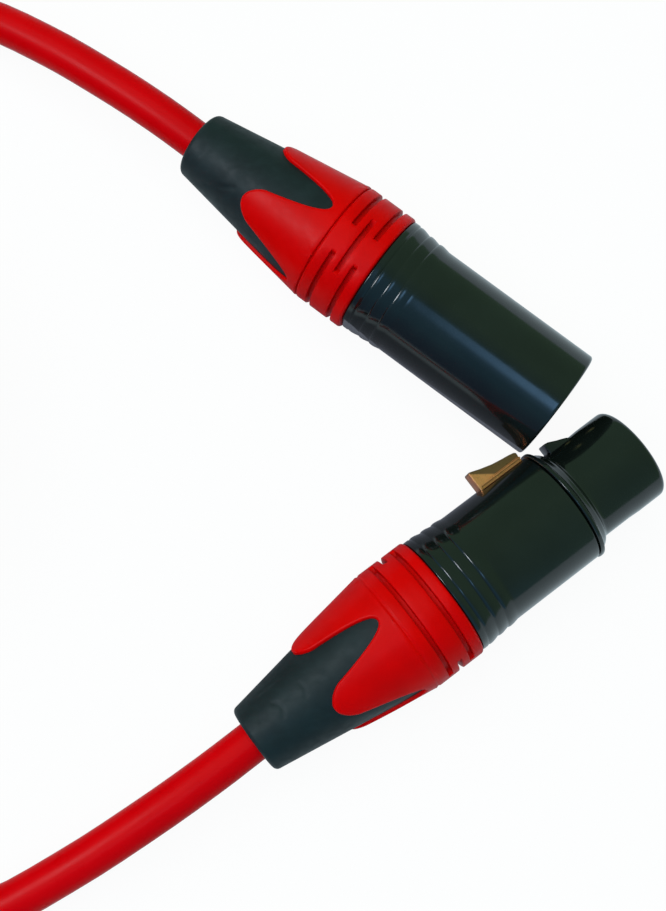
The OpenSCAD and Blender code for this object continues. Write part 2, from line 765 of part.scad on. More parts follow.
// Length of a path and the least gap between turns of the coil
function path_length(path, i = 0) =
    i >= len(path) - 1 ? 0 : norm(path[i + 1] - path[i]) + path_length(path, i + 1);
function least_gap() = min([for (i = [0:len(coil_path) - 1])
    for (j = [i + loop_rings / 2:len(coil_path) - 1]) norm(coil_path[i] - coil_path[j])]) - cable_d;

echo(cable_length = path_length(male_path) + path_length(female_path) + path_length(coil_path)
    + 2 * (boot_end - jacket_end));
echo(least_gap_in_coil = least_gap());

module cable_male_side() {
    color([0.75, 0.02, 0.03]) tube(male_path, cable_r, stretch_sides, -axis_of(-splay), coil_in);
}

module cable_female_side() {
    color([0.75, 0.02, 0.03]) tube(female_path, cable_r, stretch_sides, -axis_of(splay), -coil_out);
}

module cable_coil() {
    span = 2 * (coil_outer_r + 2 * cable_d);
    color([0.75, 0.02, 0.03]) difference() {
        tube(coil_path, cable_r, loop_sides, coil_in, coil_out);
        translate([coil_at[0] - span / 2, coil_at[1] - span / 2, -cable_d]) cube([span, span, cable_d]);
    }
}

red = [0.75, 0.02, 0.03];
rubber = [0.12, 0.14, 0.15];
nylon = [0.85, 0.85, 0.8];

male_shell();
male_insert();
male_contact(1);  // male_pin_1
male_contact(2);  // male_pin_2
male_contact(3);  // male_pin_3
color(nylon) male_end() chuck();  // male_chuck
color(red) male_end() bushing(male_petal_roll);  // male_bushing
color(rubber) male_end() boot();  // male_boot
color(red) male_end() cable_end();  // male_cable_end
male_lead(2, core_d, [0.9, 0.9, 0.9]);  // male_core_1
male_lead(3, core_d, [0.1, 0.2, 0.6]);  // male_core_2
male_lead(1, drain_d, [0.8, 0.5, 0.3]);  // male_drain
female_shell();
female_barrel();
female_insert();
female_socket(1);  // female_contact_1
female_socket(2);  // female_contact_2
female_socket(3);  // female_contact_3
female_latch();
female_latch_hook();
female_latch_pin();
female_latch_spring();
color(nylon) female_end() chuck();  // female_chuck
color(red) female_end() bushing(female_petal_roll);  // female_bushing
color(rubber) female_end() boot();  // female_boot
color(red) female_end() cable_end();  // female_cable_end
female_lead(2, core_d, [0.9, 0.9, 0.9]);  // female_core_1
female_lead(3, core_d, [0.1, 0.2, 0.6]);  // female_core_2
female_lead(1, drain_d, [0.8, 0.5, 0.3]);  // female_drain
cable_male_side();
cable_female_side();
cable_coil();
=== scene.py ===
import math
from contextlib import contextmanager

import bpy
from bpy.props import FloatProperty, FloatVectorProperty, IntProperty, PointerProperty
from bpy.types import Operator, Panel, PropertyGroup
from mathutils import Matrix, Vector


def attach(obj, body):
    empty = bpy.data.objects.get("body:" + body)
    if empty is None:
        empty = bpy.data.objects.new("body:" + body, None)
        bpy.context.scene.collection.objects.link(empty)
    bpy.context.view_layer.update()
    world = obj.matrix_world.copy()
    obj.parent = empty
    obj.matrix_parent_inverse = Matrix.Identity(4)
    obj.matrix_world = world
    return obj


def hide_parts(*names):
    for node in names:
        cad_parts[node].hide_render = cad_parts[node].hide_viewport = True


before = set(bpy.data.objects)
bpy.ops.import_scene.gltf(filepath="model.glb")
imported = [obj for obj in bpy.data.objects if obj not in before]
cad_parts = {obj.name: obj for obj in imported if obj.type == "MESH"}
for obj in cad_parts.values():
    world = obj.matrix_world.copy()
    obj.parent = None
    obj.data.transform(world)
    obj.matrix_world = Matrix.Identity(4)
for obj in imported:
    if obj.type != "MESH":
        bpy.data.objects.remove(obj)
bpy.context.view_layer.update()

bl_info = {
    "name": "Balanced Audio Lead",
    "version": (1, 0, 0),
    "blender": (4, 5, 0),
    "location": "View3D > Sidebar > Audio Lead",
    "description": "Dresses the solids of a lead with a male and a female round connector",
    "category": "Object",
}

# ---- sizes that the pieces share, in millimetres along and round a connector ----
# A connector is modelled along +X, with the joint of shell and bushing at x = 0. A roll of 0 is
# up and a roll of 90 is its +Y side.

MM = 0.001
AXIS_Z = 10.5
SPLAY = 36.87
CABLE_R = 3.25
SLEEVE_R = 3.4
BORE_R = 8.1
INSERT_R = 8.05
THREAD_R = 9.0
THREAD_LEN = 6.5
ROOT_R = 10.2
RING_R = 10.5
RING_LEN = 8.9
PETAL_END = 23.75
BOOT_END = 36.3
BOOT_ROOT_R = 9.95
BOOT_SLOPE = (BOOT_ROOT_R - 5.57) / (BOOT_END - RING_LEN)
PETAL_SLOPE = (RING_R - 8.302) / (PETAL_END - RING_LEN)
CONE_BACK = 20.0
CONE_WALL_AT = 7.4
CONE_WALL = 1.2
CONE_MID_R = 7.1
CONE_MID_AT = -9
CONE_RISE = 1.6
MALE_R = 9.5
MALE_LEN = 35.5
FEMALE_R = 9.7
FEMALE_LEN = 23.3
BARREL_R = 8.0
BARREL_IN_R = 6.9
BARREL_FRONT = 38.15
LATCH_ROLL = 90
HOOK_AT = 27.0
PIVOT = (13.8, 7.0)
PAD_BACK = 14.6
PAD_FRONT = 22.9
PAD_W = 4.0
PAD_TOP = 12.95
PAD_FOOT = 10.15
PAD_SOLE = 9.85
PAD_HOLLOW = 0.8
PAD_FLARE = 0.22
MALE_PETAL_ROLL = -36.0
FEMALE_PETAL_ROLL = 65.4


def connector_place(x, y, turn):
    """Matrix from a connector's own frame to the model's."""
    return Matrix.Translation((x * MM, y * MM, AXIS_Z * MM)) @ Matrix.Rotation(math.radians(turn), 4, "Z")


MALE_END = connector_place(-6.35, 25.8, -SPLAY)
FEMALE_END = connector_place(3.35, -25.8, SPLAY)


def rolled(angle):
    """Matrix that turns what is modelled at the top of a connector to its roll angle."""
    return Matrix.Rotation(math.radians(-angle), 4, "X")


# ---- modelling helpers ----


def only(obj):
    """Selects obj alone and makes it active."""
    bpy.ops.object.select_all(action="DESELECT")
    obj.select_set(True)
    bpy.context.view_layer.objects.active = obj
    return obj


@contextmanager
def editing(obj, mode="VERT"):
    """Edit mode on obj, with nothing selected at the start."""
    only(obj)
    bpy.ops.object.mode_set(mode="EDIT")
    bpy.ops.mesh.select_mode(type=mode)
    bpy.ops.mesh.select_all(action="DESELECT")
    yield
    bpy.ops.object.mode_set(mode="OBJECT")


def outline(name, points):
    """Closed loop of edges in the XZ plane, through points in millimetres."""
    bpy.ops.object.select_all(action="DESELECT")
    bpy.ops.mesh.primitive_circle_add(vertices=len(points), radius=MM)
    obj = bpy.context.active_object
    obj.name = obj.data.name = name
    for vertex, (x, z) in zip(obj.data.vertices, points):
        vertex.co = (x * MM, 0, z * MM)
    return obj


def close_up():
    """Merges doubles and points the faces outwards, in edit mode."""
    bpy.ops.mesh.select_all(action="SELECT")
    bpy.ops.mesh.remove_doubles(threshold=0.002 * MM)
    bpy.ops.mesh.normals_make_consistent(inside=False)


def turned(name, profile, steps=144):
    """Solid of revolution round X: a closed profile of (x, radius) in millimetres, spun once."""
    obj = outline(name, profile)
    with editing(obj):
        bpy.ops.mesh.select_all(action="SELECT")
        bpy.ops.mesh.spin(steps=steps, angle=2 * math.pi, center=(0, 0, 0), axis=(1, 0, 0))
        close_up()
    return obj


def plate(name, points, width):
    """Plate from a side outline of (x, height) in millimetres, spread sideways to its width."""
    obj = outline(name, points)
    with editing(obj):
        bpy.ops.mesh.select_all(action="SELECT")
        bpy.ops.transform.translate(value=(0, -width / 2 * MM, 0))
        bpy.ops.mesh.edge_face_add()
        bpy.ops.mesh.extrude_region_move(TRANSFORM_OT_translate={"value": (0, width * MM, 0)})
        close_up()
    return obj


def block(name, x0, x1, width, h0, h1):
    """Box of that width, between two places along a connector and two heights."""
    bpy.ops.object.select_all(action="DESELECT")
    bpy.ops.mesh.primitive_cube_add(size=1)
    obj = bpy.context.active_object
    obj.name = obj.data.name = name
    obj.data.transform(
        Matrix.Translation(((x0 + x1) / 2 * MM, 0, (h0 + h1) / 2 * MM))
        @ Matrix.Diagonal(((x1 - x0) * MM, width * MM, (h1 - h0) * MM, 1))
    )
    return obj


def rod(name, radius, length, place, vertices=64):
    """Cylinder along Z of that radius and length, at a place given as a matrix."""
    bpy.ops.object.select_all(action="DESELECT")
    bpy.ops.mesh.primitive_cylinder_add(vertices=vertices, radius=radius * MM, depth=length * MM)
    obj = bpy.context.active_object
    obj.name = obj.data.name = name
    obj.data.transform(place)
    return obj


def at(x, y, z):
    """Translation by millimetres."""
    return Matrix.Translation((x * MM, y * MM, z * MM))


def modify(obj, kind, **settings):
    """Adds a modifier with these settings and applies it."""
    only(obj)
    modifier = obj.modifiers.new(kind.title(), kind)
    for key, value in settings.items():
        setattr(modifier, key, value)
    bpy.ops.object.modifier_apply(modifier=modifier.name)
    return obj


def combine(obj, other, operation="DIFFERENCE"):
    """Cuts other from obj, or joins or intersects the two, and removes other."""
    modify(obj, "BOOLEAN", object=other, operation=operation, solver="EXACT")
    bpy.data.objects.remove(other)
    return obj


def rounded(obj, width, segments=3, angle=40):
    """Rounds the edges that are sharper than angle."""
    return modify(
        obj, "BEVEL", width=width * MM, segments=segments, limit_method="ANGLE",
        angle_limit=math.radians(angle), harden_normals=False, miter_outer="MITER_ARC",
    )


def join(name, pieces):
    """One object from several."""
    only(pieces[0])
    for piece in pieces[1:]:
        piece.select_set(True)
    bpy.ops.object.join()
    pieces[0].name = pieces[0].data.name = name
    return pieces[0]


def seat(obj, place, body, material, nodes=(), smooth=35):
    """Puts a finished piece in its place in the model and says what it rides on and stands for."""
    obj.data.transform(place)
    only(obj)
    bpy.ops.object.shade_smooth_by_angle(angle=math.radians(smooth))
    obj.data.materials.clear()
    obj.data.materials.append(material)
    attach(obj, body)
    if nodes:
        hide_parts(*nodes)
    return obj


def dress(node, material):
    """Gives a CAD node its material."""
    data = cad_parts[node].data
    data.materials.clear()
    data.materials.append(material)


def arc(x, r, radius, start, end, steps=6):
    """Points of an arc round (x, r), from one angle to another in degrees."""
    angles = [math.radians(start + (end - start) * i / steps) for i in range(steps + 1)]
    return [(x + radius * math.cos(a), r + radius * math.sin(a)) for a in angles]


def ease(t):
    """Smooth step from 0 to 1."""
    t = min(max(t, 0.0), 1.0)
    return t * t * (3 - 2 * t)


def spaced(start, end, count):
    """count + 1 even steps from start to end."""
    return [start + (end - start) * i / count for i in range(count + 1)]


def roll_of(co):
    """Roll angle of a vertex of a connector's piece, in degrees."""
    return math.degrees(math.atan2(co.y, co.z))


def set_radius(vertex, radius):
    """Moves a vertex straight out from the connector's axis to a radius in millimetres."""
    scale = radius * MM / math.hypot(vertex.co.y, vertex.co.z)
    vertex.co.y *= scale
    vertex.co.z *= scale


def angle_gap(a, b):
    """Size of the difference of two roll angles."""
    return abs((a - b + 180) % 360 - 180)


# ---- materials ----


# Bushings: painted shade on the ring's faces that lie under its surface (the groove floors, the seam and
# the front face): how dark it is from 0 to 1, and the depths in millimetres under the ring's surface at
# which it is fully dark and not dark at all
GROOVE_PAINTED_SHADE = 0.22
FLOOR_DARK = 0.6
FLOOR_PLAIN = 0.15
# Thumb pad, painted dark reflection: slant of the line above which it is brown, the line's start under
# the pad's top, and the brown's colour and strength
DARK_REFLECTION_SLANT = 0.67
DARK_REFLECTION_START = 0.3
DARK_REFLECTION_COLOUR = (0.12, 0.08, 0.042)
DARK_REFLECTION_SHARE = 0.85


class Nodes:
    """Node tree of a new material, with short ways to add and link its nodes."""

    def __init__(self, name):
        self.material = bpy.data.materials.new(name)
        self.material.use_nodes = True
        self.tree = self.material.node_tree
        self.shader = self.tree.nodes["Principled BSDF"]
        self.place = self.tree.nodes.new("ShaderNodeTexCoord").outputs["Object"]

    def add(self, kind, **inputs):
        """New node of a kind, with its inputs set or linked."""
        node = self.tree.nodes.new(kind)
        for key, value in inputs.items():
            self.feed(value, node.inputs[key.replace("_", " ")])
        return node

    def feed(self, value, socket):
        """Links an output to a socket, or sets the socket to a value."""
        if isinstance(value, bpy.types.NodeSocket):
            self.tree.links.new(value, socket)
        else:
            socket.default_value = value

    def base(self, colour):
        """Sets the base colour."""
        self.feed(colour, self.shader.inputs["Base Color"])

    def roughness(self, pattern, gloss, below, above):
        """Roughness that follows a pattern, from a little below the gloss value to above it."""
        self.feed(self.spread(pattern, gloss - below, gloss + above), self.shader.inputs["Roughness"])

    def constant(self, **values):
        """Sets numbers on the shader's own sockets."""
        for key, value in values.items():
            self.shader.inputs[key.replace("_", " ")].default_value = value

    def sum_of(self, a, factor, b):
        """Value a times a number, plus b."""
        node = self.tree.nodes.new("ShaderNodeMath")
        node.operation = "MULTIPLY_ADD"
        for index, value in enumerate((a, factor, b)):
            self.feed(value, node.inputs[index])
        return node.outputs[0]

    def own_frame(self, place):
        """Coordinates in the frame that a piece was modelled in."""
        own = self.add("ShaderNodeMapping", Vector=self.place)
        own.vector_type = "TEXTURE"
        own.inputs["Location"].default_value = place.translation
        own.inputs["Rotation"].default_value = place.to_euler()
        return own.outputs[0]

    def noise(self, size, detail=3.0, stretch=(1, 1, 1), turn=0.0):
        """Noise whose patches are about size millimetres across."""
        place = self.place
        if stretch != (1, 1, 1) or turn:
            rotation = (0, 0, math.radians(turn))
            mapping = self.add("ShaderNodeMapping", Vector=place, Rotation=rotation, Scale=stretch)
            place = mapping.outputs["Vector"]
        texture = self.add("ShaderNodeTexNoise", Vector=place, Scale=1 / (size * MM), Detail=detail)
        return texture.outputs["Fac"]

    def spread(self, value, low, high, start=0.3, end=0.7):
        """Maps a noise value onto a range."""
        node = self.add("ShaderNodeMapRange", Value=value)
        for key, number in (("From Min", start), ("From Max", end), ("To Min", low), ("To Max", high)):
            node.inputs[key].default_value = number
        return node.outputs["Result"]

    def blend(self, factor, first, second):
        """Colour between two, by a factor."""
        node = self.tree.nodes.new("ShaderNodeMix")
        node.data_type = "RGBA"
        self.feed(factor, node.inputs["Factor"])
        for index, colour in ((6, first), (7, second)):
            plain = not isinstance(colour, bpy.types.NodeSocket)
            self.feed((*colour, 1) if plain else colour, node.inputs[index])
        return node.outputs[2]

    def relief(self, layers):
        """Bump from (height value, millimetres) layers, chained."""
        normal = None
        for value, depth in layers:
            bump = self.add("ShaderNodeBump", Height=value, Distance=depth * MM, Strength=1.0)
            if normal is not None:
                self.feed(normal, bump.inputs["Normal"])
            normal = bump.outputs["Normal"]
        self.feed(normal, self.shader.inputs["Normal"])


def shade(colour, factor):
    """A colour made lighter or darker."""
    return tuple(channel * factor for channel in colour)


def soft_pvc(colour, gloss):
    """Smooth soft jacket: long faint waves, a fine skin and slight clouding of the red."""
    n = Nodes("soft_pvc")
    cloud = n.noise(14, 2)
    n.base(n.blend(n.spread(cloud, 0, 1), shade(colour, 0.93), shade(colour, 1.05)))
    n.roughness(n.noise(3.5, 4), gloss, 0.04, 0.05)
    n.relief([(n.noise(9, 1), 0.12), (n.noise(0.35, 3), 0.004)])
    n.constant(Specular_IOR_Level=0.04)
    return n.material


def moulded_nylon(name, colour, gloss, place):
    """Satin moulded nylon with an eroded grain, and painted shade on the ring's groove floors, seam and
    front.
    """
    n = Nodes(name)
    grain = n.noise(0.22, 4)
    patch = n.noise(5, 3)
    base = n.blend(n.spread(patch, 0, 1), shade(colour, 0.94), shade(colour, 1.06))
    base = n.blend(n.spread(grain, 0, 0.3, 0.55, 0.75), base, shade(colour, 1.25))
    own = n.own_frame(place)
    along = n.add("ShaderNodeSeparateXYZ", Vector=own).outputs["X"]
    cross = n.add("ShaderNodeVectorMath", Vector=own)
    cross.operation = "MULTIPLY"
    cross.inputs[1].default_value = (0, 1, 1)
    away = n.add("ShaderNodeVectorMath", Vector=cross.outputs[0])
    away.operation = "LENGTH"
    # Painted shade: faces of the ring deeper than its surface are darkened, standing in for the shade in
    # its grooves
    ring = n.spread(along, 0, 1, -(RING_LEN + 0.25) * MM, -(RING_LEN + 0.2) * MM)
    dark, plain = (RING_R - FLOOR_DARK) * MM, (RING_R - FLOOR_PLAIN) * MM
    depth = n.spread(away.outputs["Value"], GROOVE_PAINTED_SHADE, 0, dark, plain)
    # floor is the painted shade's mask
    floor = n.sum_of(ring, depth, 0.0)
    n.base(n.blend(floor, base, shade(colour, 0.25)))
    n.roughness(n.noise(1.2, 4), gloss, 0.05, 0.08)
    n.relief([(n.noise(2.5, 2), 0.02), (grain, 0.008)])
    n.constant(Specular_IOR_Level=0.05)
    return n.material


def boot_rubber(colour, gloss):
    """Matt rubber: clouded slate grey, a soft bloom and a fine grain."""
    n = Nodes("boot_rubber")
    cloud = n.noise(5, 4)
    streak = n.noise(2.2, 3, (1, 2.2, 1), 35)
    base = n.blend(n.spread(cloud, 0, 1), shade(colour, 0.75), shade(colour, 1.25))
    n.base(n.blend(n.spread(streak, 0, 0.35, 0.5, 0.75), base, shade(colour, 1.7)))
    n.roughness(n.noise(1.6, 4), gloss, 0.07, 0.08)
    n.relief([(n.noise(3, 3), 0.05), (n.noise(0.25, 3), 0.008)])
    n.constant(Specular_IOR_Level=0.2)
    return n.material


def black_plating(name, colour, gloss):
    """Gloss black plated metal: near black, slightly clouded, with a faint waviness."""
    n = Nodes(name)
    patch = n.noise(7, 3)
    n.base(n.blend(n.spread(patch, 0, 1), shade(colour, 0.8), shade(colour, 1.3)))
    n.roughness(n.noise(2, 5), gloss, 0.03, 0.04)
    n.relief([(n.noise(2.2, 2), 0.006), (n.noise(0.2, 3), 0.0012)])
    n.constant(Specular_IOR_Level=0.5)
    return n.material


def plated_metal(name, colour, gloss, tarnish):
    """Bare or plated metal with slight tarnish in patches and a drawn grain."""
    n = Nodes(name)
    patch = n.noise(1.4, 5)
    n.base(n.blend(n.spread(patch, 0, tarnish, 0.4, 0.7), colour, shade(colour, 0.45)))
    n.roughness(n.noise(0.6, 4), gloss, 0.05, 0.12)
    n.relief([(n.noise(0.4, 4), 0.004)])
    n.constant(Metallic=1.0)
    return n.material


def gold_with_painted_reflection(name, colour, gloss, place):
    """Thumb pad gold: brown painted dark reflection above a slanting line, plain gold below it and at the
    foot.
    """
    n = Nodes(name)
    split = n.add("ShaderNodeSeparateXYZ", Vector=n.own_frame(place))
    # Painted reflection: brown above the slanting line stands for the dark room mirrored in the gold
    above = n.sum_of(split.outputs["X"], DARK_REFLECTION_SLANT, split.outputs["Z"])
    level = (PAD_TOP - DARK_REFLECTION_START + DARK_REFLECTION_SLANT * PAD_BACK) * MM
    brown = n.spread(above, 0, DARK_REFLECTION_SHARE, level - 0.1 * MM, level + 0.15 * MM)
    off_foot = n.spread(split.outputs["Z"], 0, 1, PAD_FOOT * MM, (PAD_FOOT + 0.2) * MM)
    painted_reflection = n.sum_of(brown, off_foot, 0.0)
    base = n.blend(n.spread(n.noise(1.8, 2), 0, 0.25, 0.4, 0.7), colour, shade(colour, 0.5))
    n.base(n.blend(painted_reflection, base, DARK_REFLECTION_COLOUR))
    n.roughness(n.noise(0.6, 4), gloss, 0.05, 0.12)
    n.relief([(n.noise(0.4, 4), 0.004)])
    n.constant(Metallic=0.85)
    return n.material


def plain_plastic(name, colour, gloss, grain=0.006):
    """Moulded or extruded plastic with a slight cloud and a fine skin."""
    n = Nodes(name)
    n.base(n.blend(n.spread(n.noise(2.5, 3), 0, 1), shade(colour, 0.88), shade(colour, 1.1)))
    n.roughness(n.noise(0.8, 4), gloss, 0.05, 0.08)
    n.relief([(n.noise(0.3, 3), grain)])
    return n.material


# ---- the cable ----


BOOT_MOUTH_MALE = (-35.3899, 47.5801, 10.5)
BOOT_MOUTH_FEMALE = (-25.6899, -47.5801, 10.5)
MALE_ROUTE = [
    (-42, 52.5, 10.5), (-52, 59.3, 9.9), (-62, 65.6, 8.5), (-73, 71.3, 6.7), (-84.5, 75.2, 5),
    (-97, 76.8, 3.8), (-110, 74.6, 3.3), (-122.5, 69.2, 3.3), (-133.2, 61.3, 3.3), (-142.6, 52.4, 3.3),
    (-150, 43, 3.3),
]
FEMALE_ROUTE = [
    (-32.5, -52.7, 10.5), (-43, -60, 9.8), (-54, -67, 8.3), (-65.5, -73.2, 6.3), (-77, -77, 4.4),
    (-89.5, -76.6, 3.6), (-101.5, -71.8, 5), (-112.8, -64.6, 9.6), (-123.6, -57.1, 16.5),
    (-134, -49.8, 22.6),
]
COIL_AT = (-123.0, 0.0)
COIL_START = 145.0
COIL_TURNS = 11.25
COIL_LAYERS = 4
COIL_INNER_R = 27.0
TURN_PITCH = 7.1
LAYER_PITCH = 7.0
COIL_SINK = 0.65
SETTLE_TURNS = 0.25
LAYER_TURNS = COIL_TURNS / COIL_LAYERS
COIL_OUTER_R = COIL_INNER_R + TURN_PITCH * LAYER_TURNS
LOOP_POINTS = 24
# Reach of the curve's handles at the boots' mouths, which holds the cable straight there
MOUTH_REACH = 2.6


def coil_point(turns):
    """Point of the coil after so many turns: in and out in a spiral, a layer at a time."""
    phase = turns % (2 * LAYER_TURNS)
    spiral = phase if phase < LAYER_TURNS else 2 * LAYER_TURNS - phase
    climb = sum(ease((turns - k * LAYER_TURNS) * 2 + 0.5) for k in range(1, COIL_LAYERS))
    radius = COIL_OUTER_R - TURN_PITCH * spiral
    angle = math.radians(COIL_START + 360 * turns)
    return Vector((
        COIL_AT[0] + radius * math.cos(angle),
        COIL_AT[1] + radius * math.sin(angle),
        CABLE_R - COIL_SINK * ease(turns / SETTLE_TURNS) + LAYER_PITCH * climb,
    ))


def flat_unit(step):
    """Direction of a step along the table, one unit long."""
    return Vector((step.x, step.y, 0)).normalized()


def cable_points():
    """The cable's centre line from the male boot to the female one, in millimetres."""
    way_in = flat_unit(coil_point(0.01) - coil_point(0))
    way_out = flat_unit(coil_point(COIL_TURNS) - coil_point(COIL_TURNS - 0.01))
    coil = [coil_point(i / LOOP_POINTS) for i in range(int(COIL_TURNS * LOOP_POINTS) + 1)]
    coil = [coil[0] - 2 * CABLE_R * way_in] + coil + [coil[-1] + 2 * CABLE_R * way_out]
    start = [Vector(BOOT_MOUTH_MALE)] + [Vector(p) for p in MALE_ROUTE]
    end = [Vector(p) for p in reversed(FEMALE_ROUTE)] + [Vector(BOOT_MOUTH_FEMALE)]
    return start + coil + end


def lay_cable(settings):
    """Draws the centre line as a curve, gives it its thickness and presses it on the table."""
    points = cable_points()
    bpy.ops.object.select_all(action="DESELECT")
    bpy.ops.curve.primitive_bezier_curve_add()
    obj = bpy.context.active_object
    obj.name = obj.data.name = "cable"
    line = obj.data.splines[0]
    line.bezier_points.add(len(points) - 2)
    for knot, point in zip(line.bezier_points, points):
        knot.co = point * MM
        knot.handle_left_type = knot.handle_right_type = "AUTO"
    for index, place in ((0, MALE_END), (-1, FEMALE_END)):
        knot = line.bezier_points[index]
        back = place.to_3x3() @ Vector((-1, 0, 0)) * MOUTH_REACH * MM
        knot.handle_left_type = knot.handle_right_type = "FREE"
        sense = 1 if index == 0 else -1
        knot.handle_left = knot.co - back * sense
        knot.handle_right = knot.co + back * sense
    obj.data.resolution_u = 3
    only(obj)
    bpy.ops.object.duplicate()
    trace = bpy.context.active_object
    bpy.ops.object.convert(target="MESH")
    path = [tuple(v.co) for v in trace.data.vertices]
    bpy.data.objects.remove(trace)
    only(obj)
    obj.data.bevel_depth = settings.diameter / 2
    obj.data.bevel_resolution = settings.sides // 4
    obj.data.use_fill_caps = True
    bpy.ops.object.convert(target="MESH")
    for vertex in obj.data.vertices:
        vertex.co.z = max(vertex.co.z, 0.0)
    with editing(obj):
        bpy.ops.mesh.select_all(action="SELECT")
        bpy.ops.mesh.normals_make_consistent(inside=False)
    return obj, path


# ---- the boots ----


def boot_radius(x):
    """Radius of the boot's skin at a place along the connector."""
    return BOOT_ROOT_R + BOOT_SLOPE * (x + RING_LEN)


def cone_inner(x):
    """Inside radius of the clamping cone."""
    return CONE_MID_R + CONE_RISE * (x - CONE_MID_AT) / 10


def cone_outer(x):
    """Outside radius of the clamping cone."""
    return cone_inner(x) + CONE_WALL


BOOT_EDGE = 0.9
MOUTH_EDGE = 0.25
CREASES_END = -22

# Creases in the rubber: width, depth, and a line of (place along the connector, roll)
FEMALE_CREASES = [
    (0.35, 0.10, [(-31.5, 55), (-27, 50), (-22.8, 44)]),
    (0.30, 0.08, [(-30.4, 4), (-29.8, 12), (-29.9, 20), (-30.6, 28)]),
    (0.30, 0.06, [(-26.1, 6), (-25.4, 14), (-25.6, 24)]),
    (0.45, 0.07, [(-33.6, 20), (-32.9, 34), (-33.2, 47)]),
]
MALE_CREASES = [
    (0.32, 0.10, [(-30.4, -62), (-29.0, -52), (-27.3, -44), (-25.8, -36)]),
    (0.40, 0.06, [(-33.4, -30), (-32.6, -12), (-33.0, 6)]),
    (0.30, 0.05, [(-28.5, -20), (-27.6, -10), (-27.9, 2)]),
]


def crease_depth(x, roll, radius, creases):
    """How deep the creases are at a place on the boot, in millimetres."""
    depth = 0.0
    for width, deep, line in creases:
        for (x0, a0), (x1, a1) in zip(line, line[1:]):
            start = Vector((x0, math.radians(a0) * radius))
            step = Vector((x1, math.radians(a1) * radius)) - start
            here = Vector((x, math.radians(roll) * radius)) - start
            share = min(max(here.dot(step) / step.length_squared, 0), 1)
            away = (here - step * share).length / width
            depth = max(depth, deep * math.exp(-away * away))
    return depth


def shape_boot(name, creases, settings):
    """Turned boot with a rounded mouth, then the creases pressed into its skin."""
    lean = math.degrees(math.atan(BOOT_SLOPE))
    tip = -BOOT_END + BOOT_EDGE
    skin_end = -RING_LEN - 0.3
    edge_r = boot_radius(tip) - BOOT_EDGE / math.cos(math.radians(lean))
    profile = [(-BOOT_END + MOUTH_EDGE, SLEEVE_R), (-BOOT_END + 0.07, SLEEVE_R + 0.07)]
    profile += [(-BOOT_END, SLEEVE_R + MOUTH_EDGE)]
    profile += arc(tip, edge_r, BOOT_EDGE, 180, 90 + lean, 8)
    profile += [(x, boot_radius(x)) for x in spaced(tip + 0.15, skin_end, 100)]
    profile += [(skin_end, cone_outer(skin_end) + 0.05), (-CONE_BACK - 0.05, cone_outer(-CONE_BACK) + 0.05)]
    profile += [(-CONE_BACK - 0.05, SLEEVE_R)]
    boot = turned(name, profile, settings.steps)
    for vertex in boot.data.vertices:
        x, radius = vertex.co.x / MM, math.hypot(vertex.co.y, vertex.co.z) / MM
        if tip < x < CREASES_END and abs(radius - boot_radius(x)) < 0.02:
            depth = crease_depth(x, roll_of(vertex.co), radius, creases)
            set_radius(vertex, radius - depth * settings.crease)
    return boot


# ---- the bushings ----


GROOVES_AT = (-2.4, -4.45, -6.5)
GROOVE_DEPTH = 0.95
GROOVE_SECTION = [
    (0.50, 0.0), (0.46, 0.02), (0.43, 0.07), (0.41, 0.2), (0.37, 0.86), (0.32, 0.97), (0.12, 1.0),
    (-0.12, 1.0), (-0.32, 0.97), (-0.37, 0.86), (-0.41, 0.2), (-0.43, 0.07), (-0.46, 0.02), (-0.50, 0.0),
]
GROOVE_PHASE = 28.0
MIDDLE_ARC = 55.0
OUTER_ARC = 149.0
GAP_AT = 11.0
GAP_FLARE = 1.22
PETAL_TIP = 3.0
PETALS = 4
RING_STEPS = 288
# The seam between ring and petals: where it ends, and how deep it is on each side
SEAM_AT = -9.1
SEAM_DEPTHS = {"male": 0.4, "female": 0.14}
# Mesh of a petal: points on its outline, steps round its rim, the share of the outline that faces
# the ring, where the ridge stops before the tip, and the steps from the rim to the ridge
OUTLINE_POINTS = 84
RIM_STEPS = 6
SHOULDER = 0.40
RIDGE_STOP = 2.4
FILL_STEPS = (0.12, 0.26, 0.4, 0.55, 0.7, 0.82, 0.91, 0.96, 1.0)
PETAL_LIFT = 0.03


def petal_radius(x):
    """Radius of the petals' outside at a place along the connector."""
    return RING_R + PETAL_SLOPE * (x + RING_LEN)


def groove_share(row, roll, petal_roll, fade):
    """Share of a groove's depth at a roll angle: its ends run out softly."""
    span = MIDDLE_ARC if row == 1 else OUTER_ARC
    turn = petal_roll + GROOVE_PHASE + (0 if row == 1 else 90)
    away = min(angle_gap(roll, turn), angle_gap(roll, turn + 180))
    return ease((span / 2 - away) / fade + 0.5)


